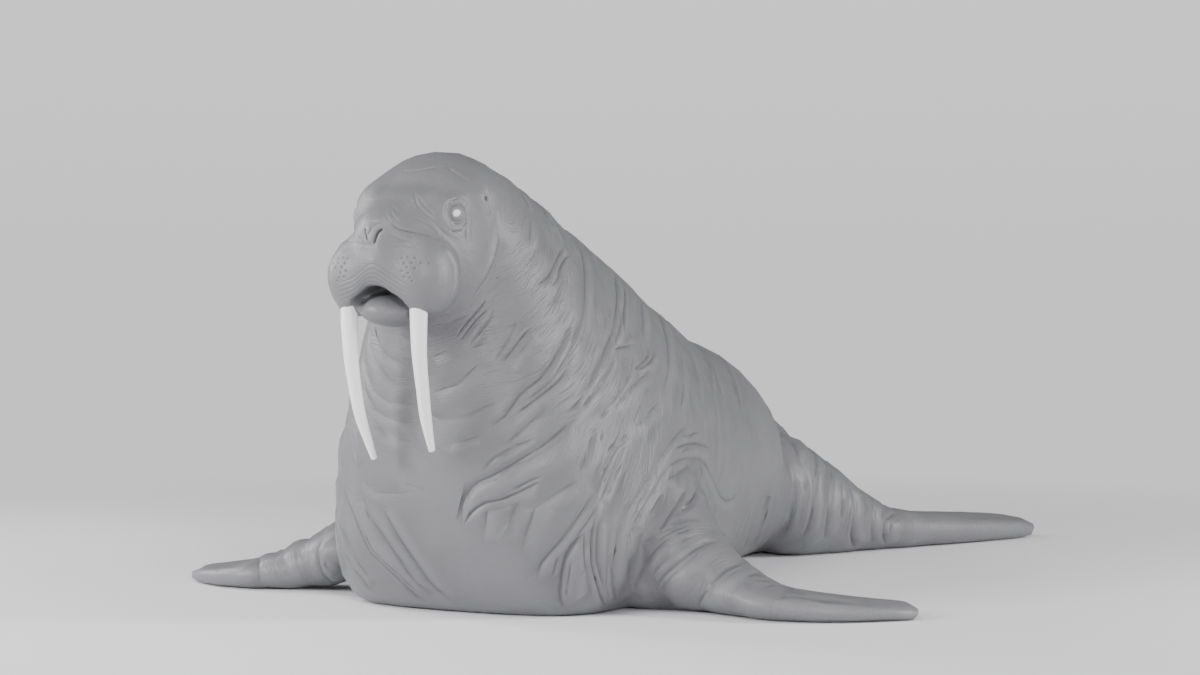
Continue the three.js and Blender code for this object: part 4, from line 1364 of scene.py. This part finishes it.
class WALRUS_OT_stage(bpy.types.Operator):
    """Lay the floor and set up the lamps and the camera"""
    bl_idname = "walrus.stage"
    bl_label = "Stage"

    def execute(self, context):
        settings = context.scene.walrus_stage
        floor = bmesh.new()
        edge = bmesh.ops.create_grid(floor, x_segments=1, y_segments=1, size=1)
        bmesh.ops.scale(floor, vec=(FLOOR_REACH, FLOOR_REACH, 1), verts=edge["verts"])
        mesh = as_mesh(floor, "floor")
        mesh.materials.append(floor_material(settings.floor_colour))
        piece = bpy.data.objects.new("floor", mesh)
        context.scene.collection.objects.link(piece)
        for name, (at, width, height) in LAMPS.items():
            add_lamp(name, at, width, height, getattr(settings, name + "_power"))
        context.scene.world = studio_light()
        camera = bpy.data.cameras.new("camera")
        camera.lens = CAMERA_LENS
        camera.sensor_width = CAMERA_SENSOR
        camera.clip_end = CAMERA_CLIP
        holder = bpy.data.objects.new("camera", camera)
        holder.matrix_world = camera_place()
        context.scene.collection.objects.link(holder)
        context.scene.camera = holder
        return {"FINISHED"}


def add_lamp(name, at, width, height, power):
    """A softbox aimed at the animal's chest."""
    lamp = bpy.data.lights.new(name, "AREA")
    lamp.shape = "RECTANGLE"
    lamp.size = width
    lamp.size_y = height
    lamp.energy = power
    holder = bpy.data.objects.new(name, lamp)
    aim = LAMPS_AIM_AT - Vector(at)
    holder.matrix_world = Matrix.Translation(at) @ aim.to_track_quat("-Z", "Y").to_matrix().to_4x4()
    bpy.context.scene.collection.objects.link(holder)


class WALRUS_PT_panel(bpy.types.Panel):
    """The walrus's pieces, in the order in which they are made"""
    bl_label = "Walrus"
    bl_idname = "WALRUS_PT_panel"
    bl_space_type = "VIEW_3D"
    bl_region_type = "UI"
    bl_category = "Walrus"

    def draw(self, context):
        for settings, names, operator in (
                (context.scene.walrus_hide, ("colour", "grid", "fold_depth"), WALRUS_OT_hide),
                (context.scene.walrus_eyes, ("colour",), WALRUS_OT_eyes),
                (context.scene.walrus_tusks, ("colour",), WALRUS_OT_tusks),
                (context.scene.walrus_stage, ("floor_colour", *(name + "_power" for name in LAMPS)),
                 WALRUS_OT_stage)):
            for name in names:
                self.layout.prop(settings, name)
            self.layout.operator(operator.bl_idname)


CLASSES = (
    WalrusHideSettings, WalrusEyeSettings, WalrusTuskSettings, WalrusStageSettings,
    WALRUS_OT_hide, WALRUS_OT_eyes, WALRUS_OT_tusks, WALRUS_OT_stage, WALRUS_PT_panel,
)


def register():
    for item in CLASSES:
        bpy.utils.register_class(item)
    scene = bpy.types.Scene
    scene.walrus_hide = bpy.props.PointerProperty(type=WalrusHideSettings)
    scene.walrus_eyes = bpy.props.PointerProperty(type=WalrusEyeSettings)
    scene.walrus_tusks = bpy.props.PointerProperty(type=WalrusTuskSettings)
    scene.walrus_stage = bpy.props.PointerProperty(type=WalrusStageSettings)


def unregister():
    for name in ("walrus_hide", "walrus_eyes", "walrus_tusks", "walrus_stage"):
        delattr(bpy.types.Scene, name)
    for item in reversed(CLASSES):
        bpy.utils.unregister_class(item)


def main():
    """Makes every piece."""
    register()
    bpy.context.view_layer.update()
    bpy.ops.walrus.hide()
    bpy.ops.walrus.eyes()
    bpy.ops.walrus.tusks()
    bpy.ops.walrus.stage()


if __name__ == "__main__":
    main()
